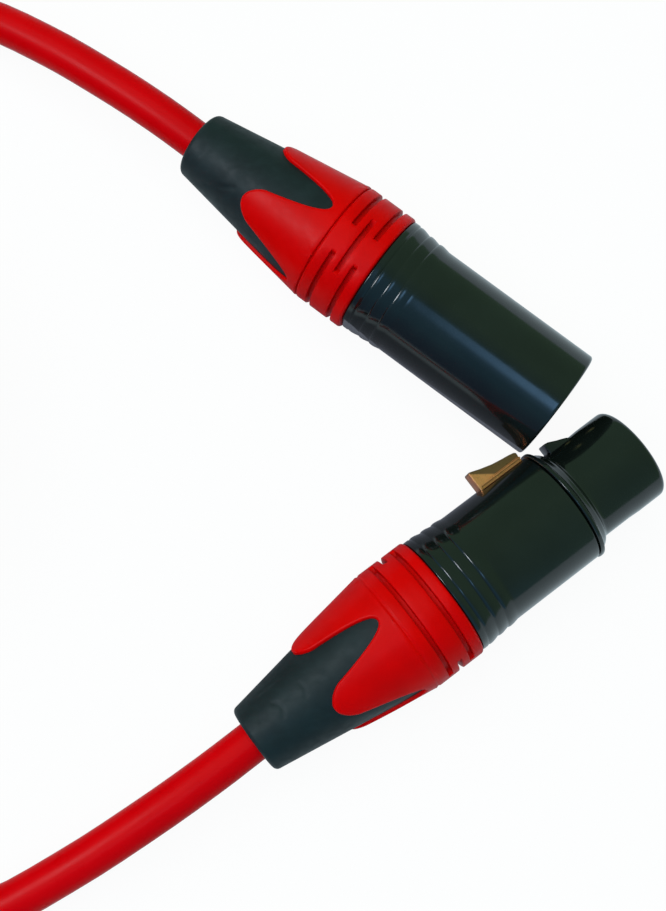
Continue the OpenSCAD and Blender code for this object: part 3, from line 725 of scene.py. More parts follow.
def shape_ring(name, petal_roll, seam, settings):
    """Gripping ring with its bore, clamping cone, interrupted grooves and the seam's front."""
    profile = [(-0.1, THREAD_R + 0.05)] + arc(-0.6, RING_R - 0.5, 0.5, 0, 90, 8)
    for row, place in enumerate(GROOVES_AT):
        profile += [(place + dx, RING_R - 0.001 * (row + 1)) for dx, _ in GROOVE_SECTION]
    profile += [(-8.45, RING_R), (-8.62, RING_R - 0.02), (-8.72, RING_R - 0.1), (-8.84, RING_R - seam)]
    profile += [(SEAM_AT, RING_R - seam), (SEAM_AT, cone_outer(SEAM_AT))]
    profile += [(-CONE_BACK, cone_outer(-CONE_BACK))]
    profile += [(-CONE_BACK, cone_inner(-CONE_BACK)), (-CONE_WALL_AT, cone_inner(-CONE_WALL_AT))]
    profile += [(-CONE_WALL_AT, THREAD_R + 0.05)]
    ring = turned(name, profile, RING_STEPS)
    for vertex in ring.data.vertices:
        x, radius = vertex.co.x / MM, math.hypot(vertex.co.y, vertex.co.z) / MM
        if radius < RING_R - 0.01:
            continue
        for row, place in enumerate(GROOVES_AT):
            if abs(x - place) < 0.51:
                share = groove_share(row, roll_of(vertex.co), petal_roll, settings.groove_fade)
                depth = min(GROOVE_SECTION, key=lambda s: abs(place + s[0] - x))[1] * GROOVE_DEPTH
                set_radius(vertex, RING_R - depth * share)
    return ring


def gap_edge(distance):
    """Point (x, roll in radians from the gap's middle) on a petal's side."""
    x = -GAP_AT - distance
    return x, math.asin(GAP_FLARE * distance**0.45 / petal_radius(x))


def petal_outline(count):
    """Even points (x, roll in radians from the gap's middle) from the gap's root to a petal's tip."""
    half = math.pi / PETALS
    length = PETAL_END - GAP_AT
    fine = [gap_edge((length - PETAL_TIP) * (i / 400) ** 2.2) for i in range(401)]
    for i in range(1, 121):
        a = math.radians(90 * i / 120)
        x, angle = gap_edge(length - PETAL_TIP * (1 - math.sin(a)))
        fine.append((x, half - (half - angle) * math.cos(a)))
    run = [0.0]
    for (x0, a0), (x1, a1) in zip(fine, fine[1:]):
        run.append(run[-1] + math.hypot(x1 - x0, (a1 - a0) * petal_radius(x1)))
    points, j = [], 0
    for i in range(count + 1):
        goal = run[-1] * i / count
        while j < len(run) - 2 and run[j + 1] < goal:
            j += 1
        share = (goal - run[j]) / max(run[j + 1] - run[j], 1e-9)
        points.append(tuple(fine[j][k] + (fine[j + 1][k] - fine[j][k]) * share for k in (0, 1)))
    return points


def petal_rows(seam, settings):
    """Rows of (x, roll, radius) over half a gap and half a petal, from the outline to the seam."""
    count, rim = OUTLINE_POINTS, settings.petal_edge / MM
    edge = petal_outline(count)
    half = math.pi / PETALS
    rows = []
    for i, (x, a) in enumerate(edge):
        before, after = edge[max(i - 1, 0)], edge[min(i + 1, count)]
        step = Vector((after[0] - before[0], (after[1] - before[1]) * petal_radius(x)))
        if i in (0, count):
            step = Vector((0, 1))
        inward = Vector((step.y, -step.x)).normalized()
        share = i / count
        if share < SHOULDER:
            goal = (-RING_LEN + 0.02, half * share / SHOULDER)
        else:
            along = (share - SHOULDER) / (1 - SHOULDER)
            goal = (-RING_LEN - (PETAL_END - RING_LEN - RIDGE_STOP) * along, half)
        column = []
        for k in range(RIM_STEPS + 1):
            angle = math.radians(90 * k / RIM_STEPS)
            offset = rim * (1 - math.cos(angle))
            px, pa = x + inward.x * offset, a + inward.y * offset / petal_radius(x)
            column.append((px, pa, petal_radius(px) - rim * (1 - math.sin(angle))))
        px, pa, _ = column[-1]
        for step_share in FILL_STEPS:
            qx, qa = px + (goal[0] - px) * step_share, pa + (goal[1] - pa) * step_share
            column.append((qx, qa, petal_radius(min(qx, -RING_LEN))))
        if share < SHOULDER:
            seam_side = ((-9.3, 0.0), (SEAM_AT, 0.05), (-8.88, seam + 0.02))
            for k, (qx, drop) in zip((-3, -2, -1), seam_side):
                qx = min(qx, column[k][0]) if k != -1 else qx
                column[k] = (qx, column[k][1], RING_R - drop - 0.02)
        rows.append(column)
    return rows


def shape_petals(name, petal_roll, seam, settings):
    """Sheet of four petals laid on the boot: one quarter is shaped, copied round and thickened."""
    rows = petal_rows(seam, settings)
    across, deep = 2 * (len(rows) - 1), len(rows[0]) - 1
    bpy.ops.object.select_all(action="DESELECT")
    bpy.ops.mesh.primitive_grid_add(x_subdivisions=across, y_subdivisions=deep, size=1)
    quarter = bpy.context.active_object
    middle = across // 2
    for vertex in quarter.data.vertices:
        i, j = round((vertex.co.x + 0.5) * across), round((vertex.co.y + 0.5) * deep)
        x, angle, radius = rows[abs(i - middle)][j]
        angle = math.copysign(angle, i - middle) if i != middle else 0.0
        vertex.co = (x * MM, radius * math.sin(angle) * MM, radius * math.cos(angle) * MM)
    quarters = [quarter]
    for k in range(1, PETALS):
        only(quarter)
        bpy.ops.object.duplicate()
        copy = bpy.context.active_object
        copy.data.transform(rolled(k * 360 / PETALS))
        quarters.append(copy)
    sheet = join(name, quarters)
    sheet.data.transform(rolled(petal_roll + 180 / PETALS))
    with editing(sheet):
        close_up()
        bpy.ops.mesh.extrude_region_move(TRANSFORM_OT_translate={"value": (0, 0, 0)})
    for vertex in sheet.data.vertices:
        if vertex.select:
            set_radius(vertex, boot_radius(min(vertex.co.x / MM, -RING_LEN)) + PETAL_LIFT)
    with editing(sheet):
        bpy.ops.mesh.select_all(action="SELECT")
        bpy.ops.mesh.normals_make_consistent(inside=False)
    return sheet


# ---- the shells and the barrel ----


RIPPLES = 3
RIPPLE_AT = 1.2
RIPPLE_PITCH = 2.0
RIPPLE_H = 0.2
RIPPLE_POINTS = 16
THREAD_PITCH = 1.0
THREAD_DEPTH = 0.35
STOP_H = 0.5
MALE_STOP = 20
FEMALE_STOP = 9
# Index flat on the male shell: its roll, where it starts, and its depth at the front
FLAT_ROLL = -95
FLAT_AT = 12.0
FLAT_DEPTH = 0.23
# The collar's front slope: places past its end, with their radii
COLLAR_SLOPE = [(0.12, 9.45), (0.35, 9.2), (0.9, 8.9), (1.2, 8.66), (1.45, 8.38), (1.62, 8.14), (1.8, 7.97)]
NECK_R = 7.9
# The latch's way through the barrel: width of the lever's gap, and its lowest and highest points
LEVER_GAP = 2.8
WAY_LOW = 4.6
WAY_TOP = 9.1
TUNNEL_TOP = 7.55


def shell_front(radius):
    """Outside of a shell from its thread to the front of its ripples."""
    end = RIPPLE_AT + RIPPLES * RIPPLE_PITCH
    points = [(-THREAD_LEN, THREAD_R - 0.5), (-THREAD_LEN + 0.4, THREAD_R - 0.3)]
    points += [(x, THREAD_R) for x in spaced(-THREAD_LEN + 0.5, -0.3, 58)]
    points += [(-0.15, THREAD_R - THREAD_DEPTH), (0, THREAD_R - THREAD_DEPTH)]
    points += arc(0.2, ROOT_R - 0.2, 0.2, 180, 90, 4)
    points += [(0.5, ROOT_R), (0.9, ROOT_R)]
    for k in range(RIPPLES):
        for i in range(RIPPLE_POINTS):
            x = RIPPLE_AT + (k + i / RIPPLE_POINTS) * RIPPLE_PITCH
            base = radius + (ROOT_R - radius) * ((end - x) / end) ** 1.8
            points.append((x, base + RIPPLE_H * math.sin(math.pi * (i / RIPPLE_POINTS) ** 0.6)))
    return points + [(end, radius), (end + 0.4, radius), (end + 3, radius)]


def cut_thread(shell):
    """Winds a screw thread into the shell's tail."""
    for vertex in shell.data.vertices:
        x, radius = vertex.co.x / MM, math.hypot(vertex.co.y, vertex.co.z) / MM
        if -THREAD_LEN + 0.45 < x < -0.25 and abs(radius - THREAD_R) < 0.02:
            phase = (x / THREAD_PITCH - roll_of(vertex.co) / 360) % 1
            run_out = ease((x + THREAD_LEN - 0.4) / 0.6) * ease((-0.2 - x) / 0.5)
            flank = min(1.0, 2.6 * abs(phase - 0.5))
            set_radius(vertex, THREAD_R - THREAD_DEPTH * (1 - flank * run_out))


def shell_inside(front, stop):
    """Bore of a shell, from its front end back to the thread, with the insert's stop."""
    return [
        (front, BORE_R + 0.45), (front - 0.1, BORE_R + 0.2), (front - 0.35, BORE_R), (stop + 1, BORE_R),
        (stop + 1, BORE_R - STOP_H), (stop, BORE_R - STOP_H), (stop, BORE_R), (-THREAD_LEN, BORE_R),
    ]


def shape_male_shell(settings):
    """Male shell with its index flat, and the groove inside that a latch catches in."""
    edge = settings.edge / MM
    front = MALE_LEN
    profile = shell_front(MALE_R) + [(front - 4, MALE_R), (front - edge - 0.4, MALE_R)]
    profile += arc(front - edge, MALE_R - edge, edge, 90, 0, 8) + shell_inside(front, MALE_STOP)
    shell = turned("male_shell_tube", profile, settings.steps)
    cut_thread(shell)
    tilt = math.atan(FLAT_DEPTH / (front - FLAT_AT))
    turn = rolled(FLAT_ROLL).to_3x3()
    with editing(shell, "FACE"):
        bpy.ops.mesh.select_all(action="SELECT")
        bpy.ops.mesh.bisect(
            plane_co=turn @ Vector((FLAT_AT * MM, 0, MALE_R * MM)),
            plane_no=turn @ Vector((math.sin(tilt), 0, math.cos(tilt))),
            use_fill=True, clear_outer=True, threshold=1e-7,
        )
        bpy.ops.mesh.region_to_loop()
        bpy.ops.mesh.mark_sharp()
    bore = rod("catch_bore", BORE_R + 0.9, 30, Matrix.Rotation(math.pi / 2, 4, "Y"), 144)
    bore.data.transform(at(front, 0, 0))
    groove = block("catch_groove", 22.5, front + 1, 4.6, BORE_R - 1, BORE_R + 2)
    catch = combine(groove, bore, "INTERSECT")
    catch.data.transform(rolled(-90))
    return combine(shell, catch)


def shape_female_shell(settings):
    """Female shell with the slot for the latch."""
    front = FEMALE_LEN
    profile = shell_front(FEMALE_R) + [(front - 3, FEMALE_R), (front - 0.6, FEMALE_R)]
    profile += arc(front - 0.25, FEMALE_R - 0.25, 0.25, 90, 0, 4) + shell_inside(front, FEMALE_STOP)
    shell = turned("female_shell_tube", profile, settings.steps)
    cut_thread(shell)
    slot = block("latch_slot", 14.2, front + 3, 4.4, 3, 14)
    slot.data.transform(rolled(LATCH_ROLL))
    return combine(shell, slot)


def shape_barrel(settings):
    """Front sleeve with its collar, and the windows that the latch works through."""
    collar, front, edge = FEMALE_LEN + 0.2, BARREL_FRONT, 0.9
    collar_r, end = FEMALE_R + 0.2, collar + 0.7
    profile = [(10, BARREL_IN_R), (10, INSERT_R), (collar, INSERT_R)]
    profile += arc(collar + 0.2, collar_r - 0.2, 0.2, 180, 90, 4)
    profile += arc(end - 0.18, collar_r - 0.18, 0.18, 90, 10, 4)
    profile += [(end + past, radius) for past, radius in COLLAR_SLOPE]
    profile += [(end + 2.1, NECK_R), (end + 2.4, NECK_R), (31.1, NECK_R), (33, BARREL_R)]
    profile += [(front - edge - 0.5, BARREL_R)]
    profile += arc(front - edge, BARREL_R - edge, edge, 90, 0, 10) + [(front, BARREL_IN_R + 0.12)]
    profile += [(front - 0.12, BARREL_IN_R), (front - 1, BARREL_IN_R)]
    barrel = turned("female_barrel_sleeve", profile, settings.steps)
    for name, x0, x1, width, h0, h1 in (
        ("lever_channel", 12.6, collar, LEVER_GAP, WAY_LOW, WAY_TOP),
        ("neck_tunnel", collar - 1, HOOK_AT + 0.6, LEVER_GAP, WAY_LOW, TUNNEL_TOP),
        ("hook_window", HOOK_AT - 0.4, HOOK_AT + 4.2, 4.4, WAY_LOW, WAY_TOP),
    ):
        cutter = block(name, x0, x1, width, h0, h1)
        cutter.data.transform(rolled(LATCH_ROLL))
        combine(barrel, cutter)
    return barrel


# ---- the latch ----


PAD_REAR_LOW = 9.3
LEVER_W = 2.4
LEVER_LOW = 6.5
LEVER_TOP = 7.3
POST_TOP = 10.2
BOSS_R = 0.9
PIN_HOLE_R = 0.49
HOOK_TOP = 9.35
HOOK_W = 4.0


def side_hollow():
    """Cutter for the pad's side: deeper from the rear plate forwards, and from the rim to the foot."""
    half, plate_front, reach = PAD_W / 2, PAD_BACK + 0.35, PAD_FRONT - PAD_BACK
    flared = outline("flare_cut", [
        (plate_front, half), (plate_front + reach, half - PAD_FLARE * reach), (plate_front + reach, PAD_W),
        (plate_front, PAD_W),
    ])
    with editing(flared):
        bpy.ops.mesh.select_all(action="SELECT")
        bpy.ops.mesh.edge_face_add()
        bpy.ops.mesh.extrude_region_move(TRANSFORM_OT_translate={"value": (0, 5 * MM, 0)})
        close_up()
    upright = Matrix.Rotation(-math.pi / 2, 4, "X") @ Matrix.Scale(-1, 4, (0, 1, 0))
    flared.data.transform(at(0, 0, PAD_FOOT) @ upright)
    rim = plate("rim_cut", [
        (half, PAD_TOP - 0.3), (half - PAD_HOLLOW, PAD_FOOT), (PAD_W, PAD_FOOT), (PAD_W, PAD_TOP),
    ], 10)
    rim.data.transform(at(PAD_BACK + 5, 0, 0) @ Matrix.Rotation(math.pi / 2, 4, "Z"))
    for cutter in (flared, rim):
        with editing(cutter):
            close_up()
    return combine(flared, rim, "INTERSECT")


def shape_pad(settings):
    """Thumb pad with a hollow in each side and rounded edges, on the lever and its boss."""
    pad = plate("latch_pad", [
        (PAD_BACK, PAD_REAR_LOW), (PAD_BACK, PAD_TOP - 0.3), (PAD_BACK + 0.15, PAD_TOP - 0.06),
        (PAD_BACK + 0.4, PAD_TOP - 0.12),
        (16.6, 12.3), (18.58, 11.78), (20.2, 11.52), (21.57, 11.35), (22.6, 11.15), (PAD_FRONT, 10.9),
        (PAD_FRONT, PAD_SOLE), (PAD_BACK + 0.5, PAD_SOLE), (PAD_BACK + 0.5, PAD_REAR_LOW),
    ], PAD_W)
    for side in (1, -1):
        cutter = side_hollow()
        cutter.data.transform(Matrix.Scale(side, 4, (0, 1, 0)))
        with editing(cutter):
            close_up()
        combine(pad, cutter)
    rounded(pad, settings.edge / MM, 3, 25)
    lever = plate("latch_lever", [
        (13.9, 6.25), (16.0, LEVER_LOW), (HOOK_AT + 3.4, LEVER_LOW), (HOOK_AT + 3.4, LEVER_TOP),
        (23.2, LEVER_TOP), (PAD_FRONT, POST_TOP), (14.8, POST_TOP), (14.8, 7.9), (PIVOT[0], 7.9),
    ], LEVER_W)
    rounded(lever, 0.08, 2, 35)
    across = at(PIVOT[0], 0, PIVOT[1]) @ Matrix.Rotation(math.pi / 2, 4, "X")
    combine(lever, rod("latch_boss", BOSS_R, LEVER_W, across, 48), "UNION")
    combine(lever, rod("latch_bore", PIN_HOLE_R, 5, across, 48))
    combine(pad, lever, "UNION")
    return pad


def shape_hook():
    """Hook: a steep catching face behind and a long ramp in front."""
    top = HOOK_TOP
    hook = plate("latch_hook_tooth", [
        (HOOK_AT, LEVER_TOP), (HOOK_AT, top - 0.15), (HOOK_AT + 0.15, top), (HOOK_AT + 0.8, top - 0.1),
        (HOOK_AT + 1.5, top - 0.4), (HOOK_AT + 2.2, top - 0.72), (HOOK_AT + 3.0, top - 1.0),
        (HOOK_AT + 3.6, top - 1.25), (HOOK_AT + 4.0, top - 1.5), (HOOK_AT + 4.0, LEVER_TOP),
    ], HOOK_W)
    return rounded(hook, 0.22, 4, 25)


# ---- the view, the room and the table ----

# Camera: its place in millimetres, the way it looks, and its sensor and lens
EYE = (-21.4, -33.6, 205.3)
LOOK = (0.0397, 0.1534, -1)
SENSOR = 36
LENS = 49.47

# Lights: their places in metres, and the small lamp's colour
CEILING_AT = (-0.5, 0.15, 1.3)
LAMP_AT = (-0.54, 0, 0.6)
LAMP_COLOUR = (0.9, 0.95, 1)

# The room: colours by the share of a direction that points to the window's side, from -1 to 1
WINDOW_WAY = 127
OVERHEAD = (0.24, 0.42, 0.27)
DIM_OVERHEAD = (0.19, 0.34, 0.28)
HAZE = (0.17, 0.43, 0.66)
DIM_WALL = (0.1, 0.14, 0.27)
ROOM = [(-0.3, OVERHEAD), (0.05, DIM_OVERHEAD), (0.25, HAZE), (0.75, shade(HAZE, 0.8)), (1.0, DIM_WALL)]
WINDOW_BLUE = (0.6, 1.18, 2.0)
WINDOW = [
    (0.165, (0, 0, 0)), (0.19, WINDOW_BLUE), (0.37, WINDOW_BLUE), (0.5, shade(WINDOW_BLUE, 0.15)),
    (0.65, (0, 0, 0)),
]
WINDOW_REACH = [(-0.085, 0.05), (0.0, 0.9), (0.08, 1.7), (0.13, 1.7), (0.2, 0.0)]


def sky_ramp(tree, share, stops):
    """Colour by a share from -1 to 1 of the direction that is looked in."""
    place = tree.nodes.new("ShaderNodeMapRange")
    place.inputs["From Min"].default_value = -1
    tree.links.new(share, place.inputs["Value"])
    ramp = tree.nodes.new("ShaderNodeValToRGB")
    tree.links.new(place.outputs[0], ramp.inputs[0])
    elements = ramp.color_ramp.elements
    elements.remove(elements[1])
    for index, (at_share, colour) in enumerate(stops):
        stop = elements[0] if index == 0 else elements.new((at_share + 1) / 2)
        stop.position, stop.color = (at_share + 1) / 2, (*colour, 1)
    return ramp.outputs["Color"]


def room_world(settings):
    """Room: greenish overhead, and a blue window a little to one side of it."""
    world = bpy.data.worlds.new("room")
    world.use_nodes = True
    tree = world.node_tree
    way = tree.nodes.new("ShaderNodeTexCoord").outputs["Generated"]
    turn = tree.nodes.new("ShaderNodeMapping")
    turn.inputs["Rotation"].default_value = (0, 0, math.radians(WINDOW_WAY))
    tree.links.new(way, turn.inputs["Vector"])
    split = tree.nodes.new("ShaderNodeSeparateXYZ")
    tree.links.new(turn.outputs[0], split.inputs[0])
    walls = [(share, shade(colour, settings.room)) for share, colour in ROOM]
    panes = [(share, shade(colour, settings.window)) for share, colour in WINDOW]
    room = sky_ramp(tree, split.outputs["X"], walls)
    window = sky_ramp(tree, split.outputs["X"], panes)
    reach = sky_ramp(tree, split.outputs["Y"], [(share, (k, k, k)) for share, k in WINDOW_REACH])
    glow = tree.nodes.new("ShaderNodeVectorMath")
    glow.operation = "MULTIPLY_ADD"
    for index, socket in enumerate((window, reach, room)):
        tree.links.new(socket, glow.inputs[index])
    seen = tree.nodes.new("ShaderNodeMix")
    seen.data_type = "RGBA"
    seen.inputs[7].default_value = (1, 1, 1, 1)
    tree.links.new(tree.nodes.new("ShaderNodeLightPath").outputs["Is Camera Ray"], seen.inputs["Factor"])
    tree.links.new(glow.outputs[0], seen.inputs[6])
    tree.links.new(seen.outputs[2], tree.nodes["Background"].inputs["Color"])
    return world


def add_area_light(name, power, size, place, aim, colour, diffuse=True, glossy=True):
    """Soft lamp at a place in metres, turned to its aim; gloss or plain light may leave it out."""
    data = bpy.data.lights.new(name, "AREA")
    data.shape, data.size, data.size_y = "RECTANGLE", *size
    data.energy, data.color = power, colour
    lamp = bpy.data.objects.new(name, data)
    turn = (Vector(aim) - Vector(place)).to_track_quat("-Z", "Y").to_matrix().to_4x4()
    lamp.matrix_world = Matrix.Translation(place) @ turn
    lamp.visible_diffuse, lamp.visible_glossy = diffuse, glossy
    bpy.context.scene.collection.objects.link(lamp)


# The table in gloss carries a painted shadow: the patch's middle and reach in metres, its colour near and
# far
SHADOW_PATCH_AT = (-0.012, -0.002, 0)
SHADOW_PATCH_REACH = 0.07
GLOSS_NEAR = (0.2, 0.22, 0.27)
GLOSS_FAR = (0.62, 0.76, 0.82)


def white_table(white):
    """Table that is white to the eye, keeps the shadows, and has a painted shadow in the gloss near the
    object.
    """
    material = bpy.data.materials.new("white_table")
    material.use_nodes = True
    tree = material.node_tree
    tree.nodes.clear()
    out = tree.nodes.new("ShaderNodeOutputMaterial")
    diffuse = tree.nodes.new("ShaderNodeBsdfDiffuse")
    diffuse.inputs["Color"].default_value = (0.8, 0.8, 0.8, 1)
    rays = tree.nodes.new("ShaderNodeLightPath")
    place = tree.nodes.new("ShaderNodeTexCoord")
    # Painted shadow: a dark patch round the object that only gloss rays see
    centre = tree.nodes.new("ShaderNodeMapping")
    centre.inputs["Location"].default_value = [-c / SHADOW_PATCH_REACH for c in SHADOW_PATCH_AT]
    centre.inputs["Scale"].default_value = (1 / SHADOW_PATCH_REACH,) * 3
    tree.links.new(place.outputs["Object"], centre.inputs["Vector"])
    ball = tree.nodes.new("ShaderNodeTexGradient")
    ball.gradient_type = "SPHERICAL"
    tree.links.new(centre.outputs[0], ball.inputs["Vector"])
    ramp = tree.nodes.new("ShaderNodeValToRGB")
    tree.links.new(ball.outputs["Fac"], ramp.inputs[0])
    far, near = ramp.color_ramp.elements
    far.position, far.color = 0.3, (*GLOSS_FAR, 1)
    near.position, near.color = 0.6, (*GLOSS_NEAR, 1)
    tint = tree.nodes.new("ShaderNodeMix")
    tint.data_type = "RGBA"
    tint.inputs[6].default_value = (1, 1, 1, 1)
    tree.links.new(rays.outputs["Is Glossy Ray"], tint.inputs["Factor"])
    tree.links.new(ramp.outputs["Color"], tint.inputs[7])
    glow = tree.nodes.new("ShaderNodeEmission")
    tree.links.new(tint.outputs[2], glow.inputs["Color"])
    seen = tree.nodes.new("ShaderNodeMath")
    seen.operation = "MULTIPLY"
    seen.inputs[1].default_value = white
    tree.links.new(rays.outputs["Is Camera Ray"], seen.inputs[0])
    share = seen.outputs[0]
    for name in ("Is Glossy Ray", "Is Transmission Ray"):
        most = tree.nodes.new("ShaderNodeMath")
        most.operation = "MAXIMUM"
        tree.links.new(share, most.inputs[0])
        tree.links.new(rays.outputs[name], most.inputs[1])
        share = most.outputs[0]
    mix = tree.nodes.new("ShaderNodeMixShader")
    tree.links.new(share, mix.inputs[0])
    tree.links.new(diffuse.outputs[0], mix.inputs[1])
    tree.links.new(glow.outputs[0], mix.inputs[2])
    tree.links.new(mix.outputs[0], out.inputs["Surface"])
    return material


# ---- settings ----


class CableSettings(PropertyGroup):
    diameter: FloatProperty(
        name="Diameter", description="Outer diameter of the cable", default=2 * CABLE_R * MM,
        min=0.005, max=0.007, unit="LENGTH", precision=4,
    )
    sides: IntProperty(name="Sides", description="Faces round the cable", default=28, min=12, max=48)
    colour: FloatVectorProperty(
        name="Jacket colour", description="Colour of the soft jacket", subtype="COLOR", size=3,
        default=(0.6, 0.0, 0.002), min=0, max=1,
    )
    gloss: FloatProperty(
        name="Roughness", description="Roughness of the jacket", default=0.3, min=0.1, max=0.8,
        subtype="FACTOR",
    )


class BootSettings(PropertyGroup):
    steps: IntProperty(name="Steps", description="Faces round a boot", default=144, min=48, max=192)
    crease: FloatProperty(
        name="Creases", description="Depth of the creases in the rubber, against their usual one",
        default=1.0, min=0, max=3, subtype="FACTOR",
    )
    colour: FloatVectorProperty(
        name="Rubber colour", description="Colour of the rubber", subtype="COLOR", size=3,
        default=(0.007, 0.0135, 0.0145), min=0, max=1,
    )
    gloss: FloatProperty(
        name="Roughness", description="Roughness of the rubber", default=0.52, min=0.1, max=1,
        subtype="FACTOR",
    )


class BushingSettings(PropertyGroup):
    petal_edge: FloatProperty(
        name="Petal edge", description="Rounding of the petals' edges", default=0.38 * MM, min=0.1 * MM,
        max=0.5 * MM, unit="LENGTH", precision=5,
    )
    groove_fade: FloatProperty(
        name="Groove run-out", description="Angle in degrees over which a groove's end runs out",
        default=4.0, min=2, max=20,
    )
    colour: FloatVectorProperty(
        name="Nylon colour", description="Colour of the bushings", subtype="COLOR", size=3,
        default=(0.6, 0.0, 0.0), min=0, max=1,
    )
    gloss: FloatProperty(
        name="Roughness", description="Roughness of the bushings", default=0.34, min=0.1, max=1,
        subtype="FACTOR",
    )


class ShellSettings(PropertyGroup):
    edge: FloatProperty(
        name="Front edge", description="Rounding of the male shell's front edge", default=0.5 * MM,
        min=0.2 * MM, max=0.6 * MM, unit="LENGTH", precision=5,
    )
    steps: IntProperty(name="Steps", description="Faces round a shell", default=144, min=72, max=288)
    colour: FloatVectorProperty(
        name="Plating colour", description="Colour under the gloss of the shells", subtype="COLOR", size=3,
        default=(0.004, 0.006, 0.005), min=0, max=1,
    )
    gloss: FloatProperty(
        name="Roughness", description="Roughness of the plating", default=0.12, min=0.02, max=0.8,
        subtype="FACTOR",
    )


class LatchSettings(PropertyGroup):
    edge: FloatProperty(
        name="Pad edge", description="Rounding of the thumb pad's edges", default=0.14 * MM, min=0.05 * MM,
        max=0.3 * MM, unit="LENGTH", precision=5,
    )
    colour: FloatVectorProperty(
        name="Pad colour", description="Colour of the thumb pad", subtype="COLOR", size=3,
        default=(0.95, 0.37, 0.14), min=0, max=1,
    )
    gloss: FloatProperty(
        name="Roughness", description="Roughness of the thumb pad", default=0.3, min=0.1, max=1,
        subtype="FACTOR",
    )


class StageSettings(PropertyGroup):
    floor: FloatProperty(
        name="Floor white", description="How white the table is to the eye", default=0.94, min=0, max=1,
        subtype="FACTOR",
    )
    ceiling: FloatProperty(
        name="Ceiling", description="Power of the plain light, in watts", default=20.5, min=0, max=60,
    )
    lamp: FloatProperty(
        name="Lamp", description="Power of the small lamp, in watts", default=2.8, min=0, max=20,
    )
    window: FloatProperty(
        name="Window", description="Brightness of the blue window, against its usual one", default=1,
        min=0, max=3,
    )
    room: FloatProperty(
        name="Room", description="Brightness of the room, against its usual one", default=1, min=0, max=3,
    )


# ---- operators ----


class LEAD_OT_viewpoint(Operator):
    """Sets the camera above the two connectors"""

    bl_idname = "lead.viewpoint"
    bl_label = "Viewpoint"

    def execute(self, context):
        eye = Vector(EYE) * MM
        look = Vector(LOOK).normalized()
        right = look.cross(Vector((0, 1, 0))).normalized()
        up = right.cross(look)
        data = bpy.data.cameras.new("viewpoint")
        data.sensor_width, data.lens = SENSOR, LENS
        data.clip_start, data.clip_end = 0.01, 10
        camera = bpy.data.objects.new("viewpoint", data)
        turn = Matrix((right, up, -look)).transposed().to_4x4()
        camera.matrix_world = Matrix.Translation(eye) @ turn
        context.scene.collection.objects.link(camera)
        context.scene.camera = camera
        return {"FINISHED"}


class LEAD_OT_cable(Operator):
    """Lays the cable from the male boot through its coil to the female boot"""

    bl_idname = "lead.cable"
    bl_label = "Cable"

    def execute(self, context):
        settings = context.scene.lead_cable
        material = soft_pvc(settings.colour, settings.gloss)
        cable, path = lay_cable(settings)
        seat(
            cable, Matrix.Identity(4), "lead", material,
            ("cable_male_side", "cable_female_side", "cable_coil"), 60,
        )
        for node in ("male_cable_end", "female_cable_end"):
            dress(node, material)
        return {"FINISHED"}


class LEAD_OT_boots(Operator):
    """Shapes the two rubber boots"""

    bl_idname = "lead.boots"
    bl_label = "Boots"

    def execute(self, context):
        settings = context.scene.lead_boot
        material = boot_rubber(settings.colour, settings.gloss)
        for side, place, creases in (
            ("male", MALE_END, MALE_CREASES), ("female", FEMALE_END, FEMALE_CREASES),
        ):
            boot = shape_boot(side + "_boot_skin", creases, settings)
            seat(boot, place, side + "_cap", material, [side + "_boot"])
        return {"FINISHED"}


class LEAD_OT_bushings(Operator):
    """Shapes the two clamping bushings with their petals"""

    bl_idname = "lead.bushings"
    bl_label = "Bushings"

    def execute(self, context):
        settings = context.scene.lead_bushing
        for side, place, roll in (
            ("male", MALE_END, MALE_PETAL_ROLL), ("female", FEMALE_END, FEMALE_PETAL_ROLL),
        ):
            seam = SEAM_DEPTHS[side]
            material = moulded_nylon(side + "_moulded_nylon", settings.colour, settings.gloss, place)
            ring = shape_ring(side + "_ring", roll, seam, settings)
            petals = shape_petals(side + "_petals", roll, seam, settings)
            bushing = join(side + "_bushing_petals", [ring, petals])
            seat(bushing, place, side + "_cap", material, [side + "_bushing"], 40)
        return {"FINISHED"}


class LEAD_OT_shells(Operator):
    """Turns the two shells and the front barrel"""

    bl_idname = "lead.shells"
    bl_label = "Shells"

    def execute(self, context):
        settings = context.scene.lead_shell
        material = black_plating("black_plating", settings.colour, settings.gloss)
        for shape, place, node in (
            (shape_male_shell, MALE_END, "male_shell"),
            (shape_female_shell, FEMALE_END, "female_shell"),
            (shape_barrel, FEMALE_END, "female_barrel"),
        ):
            seat(shape(settings), place, "lead", material, [node], 32)
        return {"FINISHED"}


class LEAD_OT_latch(Operator):
    """Shapes the latch's thumb pad and hook"""

    bl_idname = "lead.latch"
    bl_label = "Latch"

    def execute(self, context):
        settings = context.scene.lead_latch
        black = black_plating("hook_plating", (0.003, 0.003, 0.004), 0.15)
        place = FEMALE_END @ rolled(LATCH_ROLL)
        gold = gold_with_painted_reflection("latch_bronze", settings.colour, settings.gloss, place)
        seat(shape_pad(settings), place, "latch", gold, ["female_latch"], 30)
        seat(shape_hook(), place, "latch", black, ["female_latch_hook"], 30)
        return {"FINISHED"}


